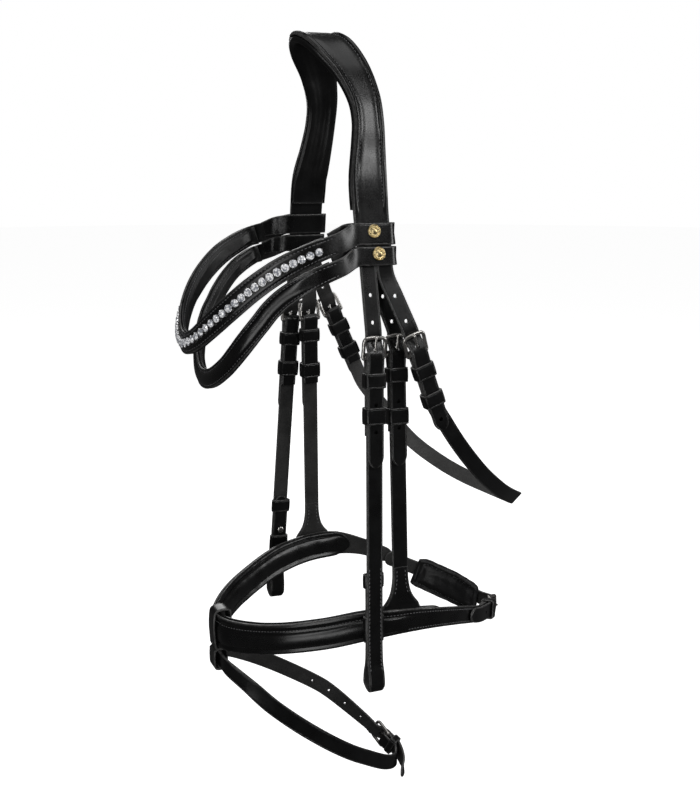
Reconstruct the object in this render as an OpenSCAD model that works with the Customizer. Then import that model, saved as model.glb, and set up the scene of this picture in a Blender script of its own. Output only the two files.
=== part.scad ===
// Snaffle bridle with an anatomical crown, double browband, padded noseband, flash and throatlash.
// The horse's nose points along -Y, its left side is +X, and the origin is the underside of the poll.

/* [Strap leather] */
// Width of the cheek, hanger, flash and throatlash straps
strap_w = 13; // [12:0.5:13.5]
// Thickness of one strap
strap_t = 2; // [1.8:0.1:2.1]
// Radius of the punched holes
hole_r = 1.5; // [1.2:0.1:1.8]
// Distance between punched holes
hole_pitch = 20; // [18:1:22]

/* [Crown] */
// Thickness of the outer crown leather
crown_t = 2.2; // [2:0.1:2.4]
// Thickness of the crown padding
crown_pad_t = 4.6; // [3:0.1:4.8]
// Thickness of the soft lining
lining_t = 1.2; // [0.8:0.1:1.3]

/* [Browbands] */
// Height of the loops of the upper browband
upper_loop_h = 16; // [12:0.5:16]
// Height of the loops of the lower browband
lower_loop_h = 13.6; // [10:0.2:13.6]
// Thickness of the browband padding
brow_pad_t = 5; // [3:0.5:6]
// Radius of one crystal
crystal_r = 2.65; // [2:0.05:3.4]
// Distance between crystal centres
crystal_pitch = 6.3; // [6.2:0.1:10]
// Radius of the stud badges
badge_r = 5; // [3:0.5:6]

/* [Noseband] */
// Thickness of the nose padding
nose_pad_t = 5.5; // [4:0.5:6]
// Height of the chin pad
chin_pad_h = 26; // [20:1:30]

/* [Buckles] */
// Radius of the buckle wire
wire_r = 1.4; // [1.2:0.1:1.5]
// Distance from the buckle bar to the top bar
buckle_l = 14; // [13:0.5:15]
// Outer width of a buckle frame
buckle_w = 19.4; // [19:0.1:20]
// Radius of the prong
prong_r = 0.9; // [0.7:0.1:1]

/* [Cheekpieces] */
// Length from the buckle bar to the bottom of the bit loop
cheek_l = 257; // [230:1:270]
// Inner radius of the bit loop's seat
bit_r = 4.5; // [4:0.1:5]
// Length of the strap turned back from the bit loop
return_l = 97; // [90:1:110]

/* [Hidden] */
$fn = 48;
smooth_n = 4;                        // sweep rings between two route points
gap = 0.2;                           // air between stacked layers
fit = 0.05;                          // running clearance of a prong on its bar
wall = 1.3;                          // thickness of keeper leather
chape_r = wire_r + 0.1;              // inner radius of the leather round a buckle bar
layer = strap_t / 2 + gap;           // middle of each layer of a doubled strap
over_n = 1.5 * strap_t + 3 * gap;    // middle of a billet lying on a doubled strap
crest_n = chape_r + 1.5 * strap_t + gap;  // middle of a billet crossing the bar
top_n = wire_r + strap_t / 2 + gap + 0.1; // how far the top bar stands out from the strap
billet_top = buckle_l + 3;           // where a billet enters its buckle
cross_z = 5.3;                       // height at which prong and billet cross
badge_t = 1.4;                       // thickness of a badge
setting_h = 1.4;                     // height of a crystal's setting
setting_n = 1.25;                    // how far out a setting sits from the middle of its band
UP = [0, 0, 1];

// Routes: each point is [x, y, z, width] on the middle of the strap.
crown_half = [[71.9, 14, -159, 27], [68.1, 14, -140, 27.5], [64.6, 13.5, -122.5, 28],
    [60, 14, -98, 28], [54, 17, -76, 25], [49, 19, -56, 23], [42.5, 18, -37, 24],
    [33, 11, -16, 28], [19, 1, 1, 33]];
crown_route = both_sides(crown_half, [0, -4, 7.5, 35]);
crown_pad_first = 9;                 // smoothed ring of the crown at which its padding starts
upper_half = [[69.1, -2.3, -136.3, 15.6], [71.9, -7.3, -137.5, 15.6], [75, -15, -141, 15.4],
    [78.5, -36, -147.3, 15.8], [72.5, -58, -158, 17.2], [63, -76, -171.5, 17.5], [51, -91, -187, 17.5],
    [36, -102, -201.5, 17.5], [19, -108.5, -213, 17]];
upper_route = both_sides(upper_half, [0, -110.5, -218, 16.5]);
lower_half = [[72.1, -2.3, -152, 13.6], [74.9, -7.3, -153.4, 13.6], [79, -14, -157.4, 13.4],
    [81.5, -30, -162.6, 13.8], [76.5, -44, -169.8, 14.6], [69.5, -55, -178, 15], [64, -64, -187.5, 15],
    [60, -71, -197.5, 15], [55, -79, -209, 15], [48, -85.5, -220, 15], [36, -91, -232, 15],
    [18, -95.5, -242.5, 15]];
lower_route = both_sides(lower_half, [0, -97, -246, 15]);
nose_route = [[22, 146.5, -465, 13], [36, 134, -460.5, 13.5], [53, 117, -454, 14], [74, 88, -442, 15],
    [85, 58, -434.5, 17], [88, 30, -431.5, 20], [83, 2, -433, 23.5], [72, -26, -439, 24],
    [56, -53, -444.5, 24], [36, -74, -449, 25], [14, -90, -451, 27], [-8, -91, -450, 27],
    [-30, -74, -442.5, 26.5], [-50, -49, -436, 26], [-68, -18, -429, 25.5], [-80, 14, -426, 24],
    [-88, 46, -428, 22], [-88, 76, -436, 15.5], [-82, 104, -448.5, 13.5]];
nose_pad_first = 14;                 // first and last smoothed rings that carry the padding
nose_pad_last = 66;
flash_near = [[-12, 66, -593, 13], [-3, 70, -598, 13], [8, 65, -600, 13], [18, 51, -594, 13],
    [30, 28, -578, 13], [37, 8, -564, 13], [42, -15, -546, 13], [43, -39, -526, 13],
    [40, -60, -507, 13], [34, -76, -490, 13], [21, -89, -478, 13], [8, -92, -474.8, 13],
    [-7, -92, -474.8, 13], [-18, -82, -478, 13], [-29, -60, -491, 13], [-38, -31, -510, 13],
    [-43, 5, -535, 13], [-42, 25, -551, 13]];
throat_bottom = [[86, 66.5, -278.5, 13], [82, 78, -293.5, 13], [74, 94, -311, 13], [60, 116.5, -332, 13],
    [40, 145, -353.5, 13], [22, 166.5, -366.5, 13], [9, 179.5, -373.5, 13], [0, 183, -376, 13],
    [-10, 174, -372, 13], [-32, 149, -360, 13], [-50, 130, -347, 13], [-66, 112, -330, 13],
    [-77.5, 92.3, -303.2, 13], [-84.3, 76.3, -281.5, 13]];
throat_hint = [0, -0.75, -0.66];

// Per side: buckle bar, lean of the strap toward the rear, and lean outward (degrees).
cheek_bar = [[84, 7, -223.5], [84, 6.5, -218]];
cheek_lean = [[-0.9, 2.9], [-3.2, 2.9]];
hanger_bar = [[72.3, 30.2, -225], [71.4, 18.4, -216]];
hanger_lean = [[0, 3.7], [2.2, 4.7]];
throat_bar = [[85.8, 41.5, -222], [85.8, 46, -214]];
throat_lean = [[20, 0], [24, 0]];

// Height above the buckle bar of each billet's tip, and of the middle of each keeper with its length.
cheek_tip = -82;
cheek_keeper_at = [-17, 11];
cheek_runner_at = [-43, 12.5];
low_keepers_at = [[-cheek_l + 88, 11], [-cheek_l + 50, 20]];
hanger_tip = -84;
hanger_keeper_at = [-15, 11];
hanger_runner_at = [-46, 12.5];
throat_tip = -64;
throat_keeper_at = [-15, 11];
throat_runner_at = [-38, 11];
doubled_l = 58;                      // length of the doubled top of a cheek or hanger strap
stud_up = 66;                        // height of the hook stud above the bottom of the bit loop

// Tops of the billets: the points about which the straps swing.
cheek_pivot = [71.8, 8, -160.8];
nose_pivot = [69, 15.5, -167];
throat_pivot = [72.8, 22.4, -167];

// ---- vectors and routes ----
function unit(v) = v / norm(v);
function xyz(p) = [p[0], p[1], p[2]];
function flip(p) = [-p[0], p[1], p[2], p[3]];
function both_sides(half, middle) =
    concat(half, [middle], [for (i = [len(half) - 1 : -1 : 0]) flip(half[i])]);
function clamp_i(i, n) = min(max(i, 0), n - 1);
function blend4(a, b, c, d, t) =
    0.5 * (2 * b + (c - a) * t + (2 * a - 5 * b + 4 * c - d) * t * t
        + (3 * b - 3 * c + d - a) * t * t * t);
// A smooth curve through the points of a route.
function smooth(r, k = smooth_n) = let (n = len(r)) concat(
    [for (i = [0 : n - 2], j = [0 : k - 1])
        blend4(i > 0 ? r[i - 1] : 2 * r[0] - r[1], r[i], r[i + 1],
            i < n - 2 ? r[i + 2] : 2 * r[n - 1] - r[n - 2], j / k)],
    [r[n - 1]]);
function heading(q, i) = let (n = len(q))
    unit(xyz(q[clamp_i(i + 1, n)]) - xyz(q[clamp_i(i - 1, n)]));
function across(t, hint) = unit(hint - (hint * t) * t);
// The frame at ring i of a smooth route: outward, across, and backward along the route.
function frame_at(q, i, hint) = let (t = heading(q, i), w = across(t, hint), n = cross(w, t), p = q[i])
    [[n[0], -w[0], -t[0], p[0]], [n[1], -w[1], -t[1], p[1]], [n[2], -w[2], -t[2], p[2]], [0, 0, 0, 1]];
function world(m, p) = let (v = m * [p[0], p[1], p[2], 1]) [v[0], v[1], v[2], p[3]];
function steps(q) = [for (i = [1 : len(q) - 1]) norm(xyz(q[i]) - xyz(q[i - 1]))];
function sums(v) = [for (i = 0, s = 0; i <= len(v); s = s + (i < len(v) ? v[i] : 0), i = i + 1) s];
function total(v) = sums(v)[len(v)];
function ring_after(s, d, i = 0) = s[i + 1] >= d || i + 2 >= len(s) ? i : ring_after(s, d, i + 1);
// The frame at a distance along a smooth route.
function frame_along(q, d, hint) =
    let (s = sums(steps(q)), i = ring_after(s, d), f = (d - s[i]) / (s[i + 1] - s[i]),
        t = unit((1 - f) * heading(q, i) + f * heading(q, i + 1)), w = across(t, hint),
        n = cross(w, t), p = (1 - f) * q[i] + f * q[i + 1])
    [[n[0], -w[0], -t[0], p[0]], [n[1], -w[1], -t[1], p[1]], [n[2], -w[2], -t[2], p[2]], [0, 0, 0, 1]];

// ---- shapes ----
// Sweeps a closed section along a smooth route. Section points are [share of the width, outward mm].
module sweep(q, hint, section) {
    k = len(section);
    rings = [for (i = [0 : len(q) - 1]) let (m = frame_at(q, i, hint))
        for (s = section) xyz(world(m, [s[1], -s[0] * q[i][3], 0, 0]))];
    // Both faces of a strap split along the same diagonal, so that stacked layers never cross.
    sides = [for (i = [0 : len(q) - 2], j = [0 : k - 1])
        let (j2 = (j + 1) % k, a = i * k + j, b = i * k + j2)
        each section[j][0] < section[j2][0] ? [[a, a + k, b], [b, a + k, b + k]]
            : [[a, b + k, b], [a, a + k, b + k]]];
    first = [[for (j = [0 : k - 1]) j]];
    last = [[for (j = [k - 1 : -1 : 0]) (len(q) - 1) * k + j]];
    polyhedron(rings, concat(sides, first, last));
}
function flat_section(n0, n1) = [[-0.5, n0], [-0.5, n1], [0.5, n1], [0.5, n0]];
// A padded layer: full height at its middle and thinner at both edges.
function pad_section(n0, n1) = [[-0.5, n1], [0.5, n1], [0.53, (n0 + n1) / 2], [0.4, n0],
    [-0.4, n0], [-0.53, (n0 + n1) / 2]];

module on_side(s) {
    if (s == 0) children();
    else mirror([1, 0, 0]) children();
}
// Local buckle frame of a straight strap: +X outward, +Z up the strap, origin on the buckle bar.
module hang(bar, lean) {
    translate(bar) rotate([lean[0], -lean[1], 0]) children();
}
// The buckle frame of one side of a pair.
module at_bar(bar, lean, s) {
    on_side(s) hang(bar[s], lean[s]) children();
}
// A strap seen edge-on: a line of [outward, up] points given the strap's thickness.
function normal2(q, i) = let (n = len(q), d = q[clamp_i(i + 1, n)] - q[clamp_i(i - 1, n)], l = norm(d))
    [-d[1] / l, d[0] / l];
module edge_on(line, t = strap_t, w = strap_w) {
    n = len(line);
    left = [for (i = [0 : n - 1]) line[i] + normal2(line, i) * t / 2];
    right = [for (i = [n - 1 : -1 : 0]) line[i] - normal2(line, i) * t / 2];
    rotate([90, 0, 0]) linear_extrude(w, center = true) polygon(concat(left, right));
}
module turn(r, up, w = strap_w) {
    rotate([up ? 90 : -90, 0, 0]) rotate_extrude(angle = 180)
        translate([r, -w / 2]) square([strap_t, w]);
}
module punch(z, r = hole_r) {
    translate([0, 0, z]) rotate([0, 90, 0]) cylinder(r = r, h = 12, center = true);
}

// ---- buckle and keepers, all in the local buckle frame ----
module wire(a, b) {
    v = b - a;
    translate(a) rotate([0, acos(v[2] / norm(v)), atan2(v[1], v[0])]) cylinder(r = wire_r, h = norm(v));
}
module buckle_frame() {
    y = buckle_w / 2 - wire_r;
    color("silver") {
        wire([0, -y, 0], [0, y, 0]);
        wire([top_n, -y, buckle_l], [top_n, y, buckle_l]);
        for (s = [-1, 1]) {
            wire([0, s * y, 0], [top_n, s * y, buckle_l]);
            translate([0, s * y, 0]) sphere(r = wire_r);
            translate([top_n, s * y, buckle_l]) sphere(r = wire_r);
        }
    }
}
module buckle_prong() {
    eye_w = 3.2;
    foot = wire_r + fit + 0.3;
    reach = top_n + wire_r + prong_r + 0.1;
    tilt = atan((reach - foot) / buckle_l);
    color("gainsboro") difference() {
        union() {
            rotate([90, 0, 0]) cylinder(r = wire_r + fit + 1, h = eye_w, center = true);
            translate([foot, 0, 0]) rotate([0, tilt, 0])
                cylinder(r = prong_r, h = buckle_l / cos(tilt) + 1.5);
        }
        rotate([90, 0, 0]) cylinder(r = wire_r + fit, h = eye_w + 1, center = true);
    }
}
// Slot in the billet that the prong passes through.
module prong_slot() {
    l = 4.8;
    r = prong_r + 0.6;
    for (z = [-l / 2, l / 2]) punch(cross_z + z, r = r);
    translate([0, 0, cross_z]) cube([12, 2 * r, l], center = true);
}
// Slot in the leather round the buckle bar that the prong's eye sits in.
module chape_slot() {
    eye_room = 4;
    slot_l = 11;
    cube([2 * (chape_r + strap_t) + 1, eye_room, slot_l], center = true);
}
// A leather band round a strap; n0 and n1 are the inner and outer faces of its opening.
module keeper(n0, n1, h) {
    side = strap_w / 2 + 0.4;
    difference() {
        translate([n0 - wall, -side - wall, -h / 2]) cube([n1 - n0 + 2 * wall, 2 * (side + wall), h]);
        translate([n0, -side, -h]) cube([n1 - n0, 2 * side, 2 * h]);
    }
}
// A keeper round the doubled strap and the billet over it.
module stack_keeper(at) {
    color("#1a1a1c") translate([0, 0, at[0]])
        keeper(-strap_t - 3 * gap, over_n + strap_t / 2 + gap, at[1]);
}

// Doubled strap end round the buckle bar: tail inside, then over the bar, then down the outside.
module chape(tail_l) {
    difference() {
        union() {
            turn(chape_r, true);
            edge_on([[-chape_r - strap_t / 2, 0], [-layer, -10], [-layer, -tail_l]]);
            edge_on([[chape_r + strap_t / 2, 0], [layer, -10], [layer, -tail_l - 1]]);
        }
        chape_slot();
    }
}
// Lower part of a billet: under the top bar, over the bar, and down through the keepers.
module billet_tail(tip_z) {
    tip_r = strap_w / 2;
    difference() {
        union() {
            edge_on([[0.1, billet_top], [0.1, buckle_l - 1.5], [crest_n, 1], [crest_n, -2],
                [over_n, -11], [over_n, tip_z + tip_r]]);
            translate([over_n - strap_t / 2, 0, tip_z + tip_r]) rotate([0, 90, 0])
                cylinder(r = tip_r, h = strap_t);
        }
        prong_slot();
        for (i = [1 : 2]) punch(cross_z - i * hole_pitch);
    }
}
// Upper part of a billet, from just above its pivot to the buckle; holes are punched toward the top.
module billet(pivot, side_axis, bar, lean, tip_z) {
    foot = hung(bar, lean, [0.1, 0, billet_top - 1]);
    top = pivot + (side_axis ? 4 : 0.6) * unit(pivot - foot);
    color("#151517") difference() {
        union() {
            sweep([concat(top, strap_w), concat(foot, strap_w)], [0, 1, 0],
                flat_section(-strap_t / 2, strap_t / 2));
            hang(bar, lean) billet_tail(tip_z);
        }
        for (i = [1 : 2])
            translate(foot + (cross_z + i * hole_pitch - billet_top + 1) * unit(top - foot)) punch(0);
    }
}
// Where a point of the local buckle frame lies.
function hung(bar, lean, p) = let (a = lean[0], b = -lean[1],
        y = p[1] * cos(a) - p[2] * sin(a), z = p[1] * sin(a) + p[2] * cos(a))
    bar + [p[0] * cos(b) + z * sin(b), y, z * cos(b) - p[0] * sin(b)];

// ---- headpiece ----
crown_line = smooth(crown_route);
module crown_leather() {
    color("#1b1b1d") sweep(crown_line, [0, 1, 0], flat_section(-crown_t / 2, crown_t / 2));
}
// A layer under the crown that follows its rings; share is its width against the crown's.
module crown_layer(section, share = 1) {
    q = [for (i = [crown_pad_first : len(crown_line) - 1 - crown_pad_first])
        let (p = crown_line[i]) [p[0], p[1], p[2], p[3] * share]];
    sweep(q, [0, 1, 0], section);
}
module crown_padding() {
    n1 = -crown_t / 2 - gap;
    color("#121214") crown_layer(pad_section(n1 - crown_pad_t, n1));
}
module crown_lining() {
    n1 = -crown_t / 2 - 2 * gap - crown_pad_t;
    color("#0e0e10") crown_layer(flat_section(n1 - lining_t, n1), 0.76);
}

// ---- browbands ----
loop_lean = 11.3;                    // slope of the crown where the loops sit
loop_t = 1.8;                        // thickness of the loop leather
loop_n = [-crown_t / 2 - 1.6, crown_t / 2 + 0.35];  // opening of a loop, inner and outer face
loop_y = [-14.6, 16.2];              // opening of a loop, front and rear edge
upper_loop_z = -136;
lower_loop_z = -151.8;
upper_badge = [13.5, -134.5];        // middle of a badge, [y, z]
lower_badge = [16, -150.5];
// A point on the crown's straight lower end.
function crown_at(y, z) = [crown_half[2][0] + tan(loop_lean) * (crown_half[2][2] - z), y, z];
module crown_loop(z, h) {
    n = loop_n[1] - loop_n[0];
    w = loop_y[1] - loop_y[0];
    for (s = [0, 1]) on_side(s) translate(crown_at(crown_half[2][1], z)) rotate([0, -loop_lean, 0])
        translate([loop_n[0], loop_y[0], 0]) difference() {
            translate([-loop_t, -loop_t, -h / 2]) cube([n + 2 * loop_t, w + 2 * loop_t, h]);
            translate([0, 0, -h]) cube([n, w, 2 * h]);
        }
}
module badge_pair(at) {
    color("gold") for (s = [0, 1]) on_side(s) translate(crown_at(at[0], at[1]))
        rotate([0, 90 - loop_lean, 0]) translate([0, 0, loop_n[1] + loop_t + 0.05])
            cylinder(r = badge_r, h = badge_t);
}
module upper_browband_strap() {
    color("#19191b") {
        crown_loop(upper_loop_z, upper_loop_h);
        sweep(smooth(upper_route), UP, flat_section(-1, 1));
    }
}
// Padding behind a band, between two of the band's smoothed rings.
module inner_pad(line, first, last, t) {
    q = [for (i = [first : last]) line[i]];
    color("#111113") sweep(q, UP, pad_section(-1 - gap - t, -1 - gap));
}
module brow_pad(line) {
    inner_pad(line, 2 * smooth_n, len(line) - 1 - 2 * smooth_n, brow_pad_t);
}
module upper_browband_padding() {
    brow_pad(smooth(upper_route));
}
crystal_line = smooth(upper_route, 8);
crystal_first = 32;                  // distance along the band from the loop to the first crystal
crystal_n = floor((total(steps(crystal_line)) - 2 * crystal_first) / crystal_pitch);
crystal_start = (total(steps(crystal_line)) - crystal_n * crystal_pitch) / 2;
module each_crystal() {
    for (i = [0 : crystal_n])
        multmatrix(frame_along(crystal_line, crystal_start + i * crystal_pitch, UP))
            rotate([0, 90, 0]) children();
}
module crystal_settings() {
    color("silver") each_crystal() translate([0, 0, setting_n]) difference() {
        cylinder(r = crystal_r + 0.35, h = setting_h, $fn = 24);
        translate([0, 0, 0.5]) cylinder(r = crystal_r + 0.05, h = setting_h, $fn = 24);
    }
}
module crystals() {
    color("white") each_crystal() translate([0, 0, setting_n + 0.6]) {
        cylinder(r = crystal_r, h = 0.9, $fn = 24);
        translate([0, 0, 0.9]) cylinder(r1 = crystal_r, r2 = crystal_r * 0.6, h = 1, $fn = 24);
    }
}
module upper_badges() {
    badge_pair(upper_badge);
}
module lower_browband_strap() {
    color("#19191b") {
        crown_loop(lower_loop_z, lower_loop_h);
        sweep(smooth(lower_route), UP, flat_section(-1, 1));
    }
}
module lower_browband_padding() {
    brow_pad(smooth(lower_route));
}
module lower_badges() {
    badge_pair(lower_badge);
}

// ---- cheekpieces ----
module cheek_billet(s) {
    on_side(s) billet(cheek_pivot, false, cheek_bar[s], cheek_lean[s], cheek_tip);
}
module cheek_strap(s) {
    loop_n0 = bit_r + strap_t / 2;
    loop_z = -cheek_l + bit_r + strap_t;
    neck_z = loop_z + 24;
    color("#161618") at_bar(cheek_bar, cheek_lean, s) {
        chape(doubled_l);
        edge_on([[layer, -doubled_l], [layer, neck_z + 8], [layer + 1, neck_z - 8], [loop_n0, loop_z + 8],
            [loop_n0, loop_z]]);
        translate([0, 0, loop_z]) turn(bit_r, false);
        edge_on([[-loop_n0, loop_z], [-loop_n0, loop_z + 8], [-layer - 1, neck_z - 8],
            [-layer, neck_z + 8], [-layer, -cheek_l + return_l]]);
    }
}
// The lower keepers hold the turned-back end against the inner face of the strap.
module cheek_keepers(s) {
    at_bar(cheek_bar, cheek_lean, s) {
        stack_keeper(cheek_keeper_at);
        color("#1a1a1c") for (k = low_keepers_at) translate([0, 0, k[0]]) difference() {
            keeper(-strap_t - 2 * gap, 0, k[1]);
            translate([strap_w / 2 - 0.05, 0, 0]) cube([strap_w, 2 * strap_w, 2 * k[1]], center = true);
        }
    }
}
module cheek_runner(s) {
    at_bar(cheek_bar, cheek_lean, s) stack_keeper(cheek_runner_at);
}
module hook_stud(s) {
    color("silver") at_bar(cheek_bar, cheek_lean, s)
        translate([-2 * layer - 0.1, 0, -cheek_l + stud_up]) rotate([0, -90, 0]) {
            cylinder(r = 1.4, h = 1.8);
            translate([0, 0, 1.8]) cylinder(r = 2.8, h = 1);
        }
}

// ---- noseband ----
module hanger_billet(s) {
    on_side(s) billet(nose_pivot, true, hanger_bar[s], hanger_lean[s], hanger_tip);
}
flare_z = [-193.5, -201];             // where the flared ends meet the noseband
// Half outline of the flared end: [half width, height above its bottom edge].
flare_half = [[15.5, 0], [13.4, 2.5], [10.6, 6.5], [8.5, 12], [7, 20], [6.5, 34]];
module hanger_strap(s) {
    n = len(flare_half);
    flare = concat(flare_half, [for (i = [n - 1 : -1 : 0]) [-flare_half[i][0], flare_half[i][1]]]);
    color("#161618") at_bar(hanger_bar, hanger_lean, s) {
        chape(doubled_l);
        edge_on([[layer, -doubled_l], [layer, flare_z[s] + flare_half[n - 1][1] - 1]]);
        translate([layer - strap_t / 2, 0, flare_z[s]]) rotate([90, 0, 90]) linear_extrude(strap_t)
            polygon(flare);
    }
}
module hanger_keeper(s) {
    at_bar(hanger_bar, hanger_lean, s) stack_keeper(hanger_keeper_at);
}
module hanger_runner(s) {
    at_bar(hanger_bar, hanger_lean, s) stack_keeper(hanger_runner_at);
}
nose_line = smooth(nose_route);
nose_end = frame_at(nose_line, 0, UP);
module noseband_strap() {
    color("#19191b") {
        difference() {
            union() {
                sweep(nose_line, UP, flat_section(-1, 1));
                multmatrix(nose_end) chin_turn();
            }
            multmatrix(nose_end) translate(chin_bar) chape_slot();
        }
    }
}
chin_bar = [0, 0, chape_r + strap_t - 0.6];  // buckle bar of a curved strap in its end frame
// Short leather wrap that carries a buckle bar at the end of a curved strap.
module chin_turn() {
    translate(chin_bar) difference() {
        rotate([90, 0, 0]) cylinder(r = chape_r + strap_t, h = strap_w, center = true);
        rotate([90, 0, 0]) cylinder(r = chape_r, h = strap_w + 1, center = true);
    }
}
module noseband_padding() {
    inner_pad(nose_line, nose_pad_first, nose_pad_last, nose_pad_t);
}
function buckled(m, list) = [for (p = list) world(m, [p[0], p[1], p[2] + chin_bar[2], p[3]])];
buckle_path = [[-0.4, 0, 24, 13], [-0.5, 0, 14, 13], [crest_n + 0.2, 0, 1, 13], [crest_n + 0.1, 0, -3, 13],
    [over_n + 0.6, 0, -12, 13]];
chin_route = concat([[-80, 96, -446, 14], [-76, 113, -454, 13.5], [-62, 138, -464.5, 13],
    [-42, 154, -471, 13], [-18, 162, -474, 13]],
    buckled(nose_end, buckle_path), [[55.5, 120, -454, 13], [67, 104, -448, 12]]);
chin_line = smooth(chin_route);
module chin_billet() {
    color("#151517") difference() {
        sweep(chin_line, UP, flat_section(-1, 1));
        multmatrix(nose_end) translate(chin_bar) prong_slot();
    }
}
module chin_pad() {
    q = [for (i = [1 : 4]) let (p = chin_route[i]) [p[0], p[1], p[2] - 2, chin_pad_h]];
    color("#111113") sweep(smooth(q), UP, pad_section(-9, -1.5));
}
// The loop on the front of the noseband: one sleeve round the band and one below it round the flash.
sleeve_w = 14;                       // width of the loop along the band
sleeve_t = 1.7;                      // thickness of its leather
sleeve_at = [0, -90, -450];
nose_room = [[-4.1, -15.9], [11.3, 30.8]];   // corner and size of each opening, [y, z]
flash_room = [[-5.1, -33.4], [8.6, 15.9]];
module sleeve_block(room, w, t) {
    translate([-w / 2, room[0][0] - t, room[0][1] - t]) cube([w, room[1][0] + 2 * t, room[1][1] + 2 * t]);
}
module flash_loop() {
    color("#1a1a1c") translate(sleeve_at) difference() {
        for (room = [nose_room, flash_room]) sleeve_block(room, sleeve_w, sleeve_t);
        for (room = [nose_room, flash_room]) sleeve_block(room, sleeve_w + 2, 0);
    }
}

// ---- flash ----
flash_end = frame_at(smooth(flash_near), 0, UP);
flash_tail = [[5, 74, -608, 13], [13, 69, -615, 12]];
flash_route = concat(flash_near, buckled(flash_end, buckle_path), flash_tail);
flash_line = smooth(flash_route);
module flash_strap() {
    color("#151517") difference() {
        union() {
            sweep(flash_line, UP, flat_section(-1, 1));
            multmatrix(flash_end) chin_turn();
        }
        multmatrix(flash_end) translate(chin_bar) prong_slot();
        multmatrix(flash_end) translate(chin_bar) chape_slot();
    }
}
module flash_keepers() {
    color("#1a1a1c") multmatrix(frame_along(flash_line, 5.5, UP)) keeper(-2.2, over_n + 2.5, 6);
}

// ---- throatlash ----
module throat_billet(s) {
    on_side(s) billet(throat_pivot, true, throat_bar[s], throat_lean[s], throat_tip);
}
straight_l = [46, 60];               // straight length of the throatlash below each buckle bar
function throat_point(s, z) = let (b = throat_bar[s], a = throat_lean[s][0])
    [(s == 0 ? 1 : -1) * (b[0] + layer), b[1] - z * sin(a), b[2] + z * cos(a), strap_w + 0.1];
throat_route = concat([throat_point(0, -straight_l[0] + 1)], throat_bottom,
    [throat_point(1, -straight_l[1] + 1)]);
module throat_strap() {
    color("#161618") {
        for (s = [0, 1]) at_bar(throat_bar, throat_lean, s) {
            chape(straight_l[s] - 10);
            edge_on([[layer, 9 - straight_l[s]], [layer, -straight_l[s]]]);
        }
        sweep(smooth(throat_route), throat_hint, flat_section(-1.03, 1.03));
    }
}
module throat_keeper(s) {
    at_bar(throat_bar, throat_lean, s) stack_keeper(throat_keeper_at);
}
module throat_runner(s) {
    at_bar(throat_bar, throat_lean, s) stack_keeper(throat_runner_at);
}

crown_leather();
crown_padding();
crown_lining();
upper_browband_strap();
upper_browband_padding();
crystal_settings();
crystals();
upper_badges();
lower_browband_strap();
lower_browband_padding();
lower_badges();
cheek_billet(0);  // cheek_billet_left
cheek_strap(0);  // cheek_strap_left
at_bar(cheek_bar, cheek_lean, 0) buckle_frame();  // cheek_frame_left
at_bar(cheek_bar, cheek_lean, 0) buckle_prong();  // cheek_prong_left
cheek_keepers(0);  // cheek_keepers_left
cheek_runner(0);  // cheek_runner_left
hook_stud(0);  // hook_stud_left
cheek_billet(1);  // cheek_billet_right
cheek_strap(1);  // cheek_strap_right
at_bar(cheek_bar, cheek_lean, 1) buckle_frame();  // cheek_frame_right
at_bar(cheek_bar, cheek_lean, 1) buckle_prong();  // cheek_prong_right
cheek_keepers(1);  // cheek_keepers_right
cheek_runner(1);  // cheek_runner_right
hook_stud(1);  // hook_stud_right
noseband_strap();
noseband_padding();
hanger_billet(0);  // hanger_billet_left
hanger_strap(0);  // hanger_strap_left
at_bar(hanger_bar, hanger_lean, 0) buckle_frame();  // hanger_frame_left
at_bar(hanger_bar, hanger_lean, 0) buckle_prong();  // hanger_prong_left
hanger_keeper(0);  // hanger_keeper_left
hanger_runner(0);  // hanger_runner_left
hanger_billet(1);  // hanger_billet_right
hanger_strap(1);  // hanger_strap_right
at_bar(hanger_bar, hanger_lean, 1) buckle_frame();  // hanger_frame_right
at_bar(hanger_bar, hanger_lean, 1) buckle_prong();  // hanger_prong_right
hanger_keeper(1);  // hanger_keeper_right
hanger_runner(1);  // hanger_runner_right
chin_billet();
chin_pad();
multmatrix(nose_end) translate(chin_bar) buckle_frame();  // chin_frame
multmatrix(nose_end) translate(chin_bar) buckle_prong();  // chin_prong
color("#1a1a1c") multmatrix(nose_end) translate([0, 0, -8])  // chin_keeper
    keeper(-1.4, over_n + 2.4, 11);
flash_loop();
flash_strap();
multmatrix(flash_end) translate(chin_bar) buckle_frame();  // flash_frame
multmatrix(flash_end) translate(chin_bar) buckle_prong();  // flash_prong
flash_keepers();
throat_billet(0);  // throat_billet_left
throat_billet(1);  // throat_billet_right
throat_strap();
at_bar(throat_bar, throat_lean, 0) buckle_frame();  // throat_frame_left
at_bar(throat_bar, throat_lean, 0) buckle_prong();  // throat_prong_left
throat_keeper(0);  // throat_keeper_left
throat_runner(0);  // throat_runner_left
at_bar(throat_bar, throat_lean, 1) buckle_frame();  // throat_frame_right
at_bar(throat_bar, throat_lean, 1) buckle_prong();  // throat_prong_right
throat_keeper(1);  // throat_keeper_right
throat_runner(1);  // throat_runner_right
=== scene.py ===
import math
import random

import bpy
import bmesh
import numpy as np
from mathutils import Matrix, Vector, noise


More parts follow.
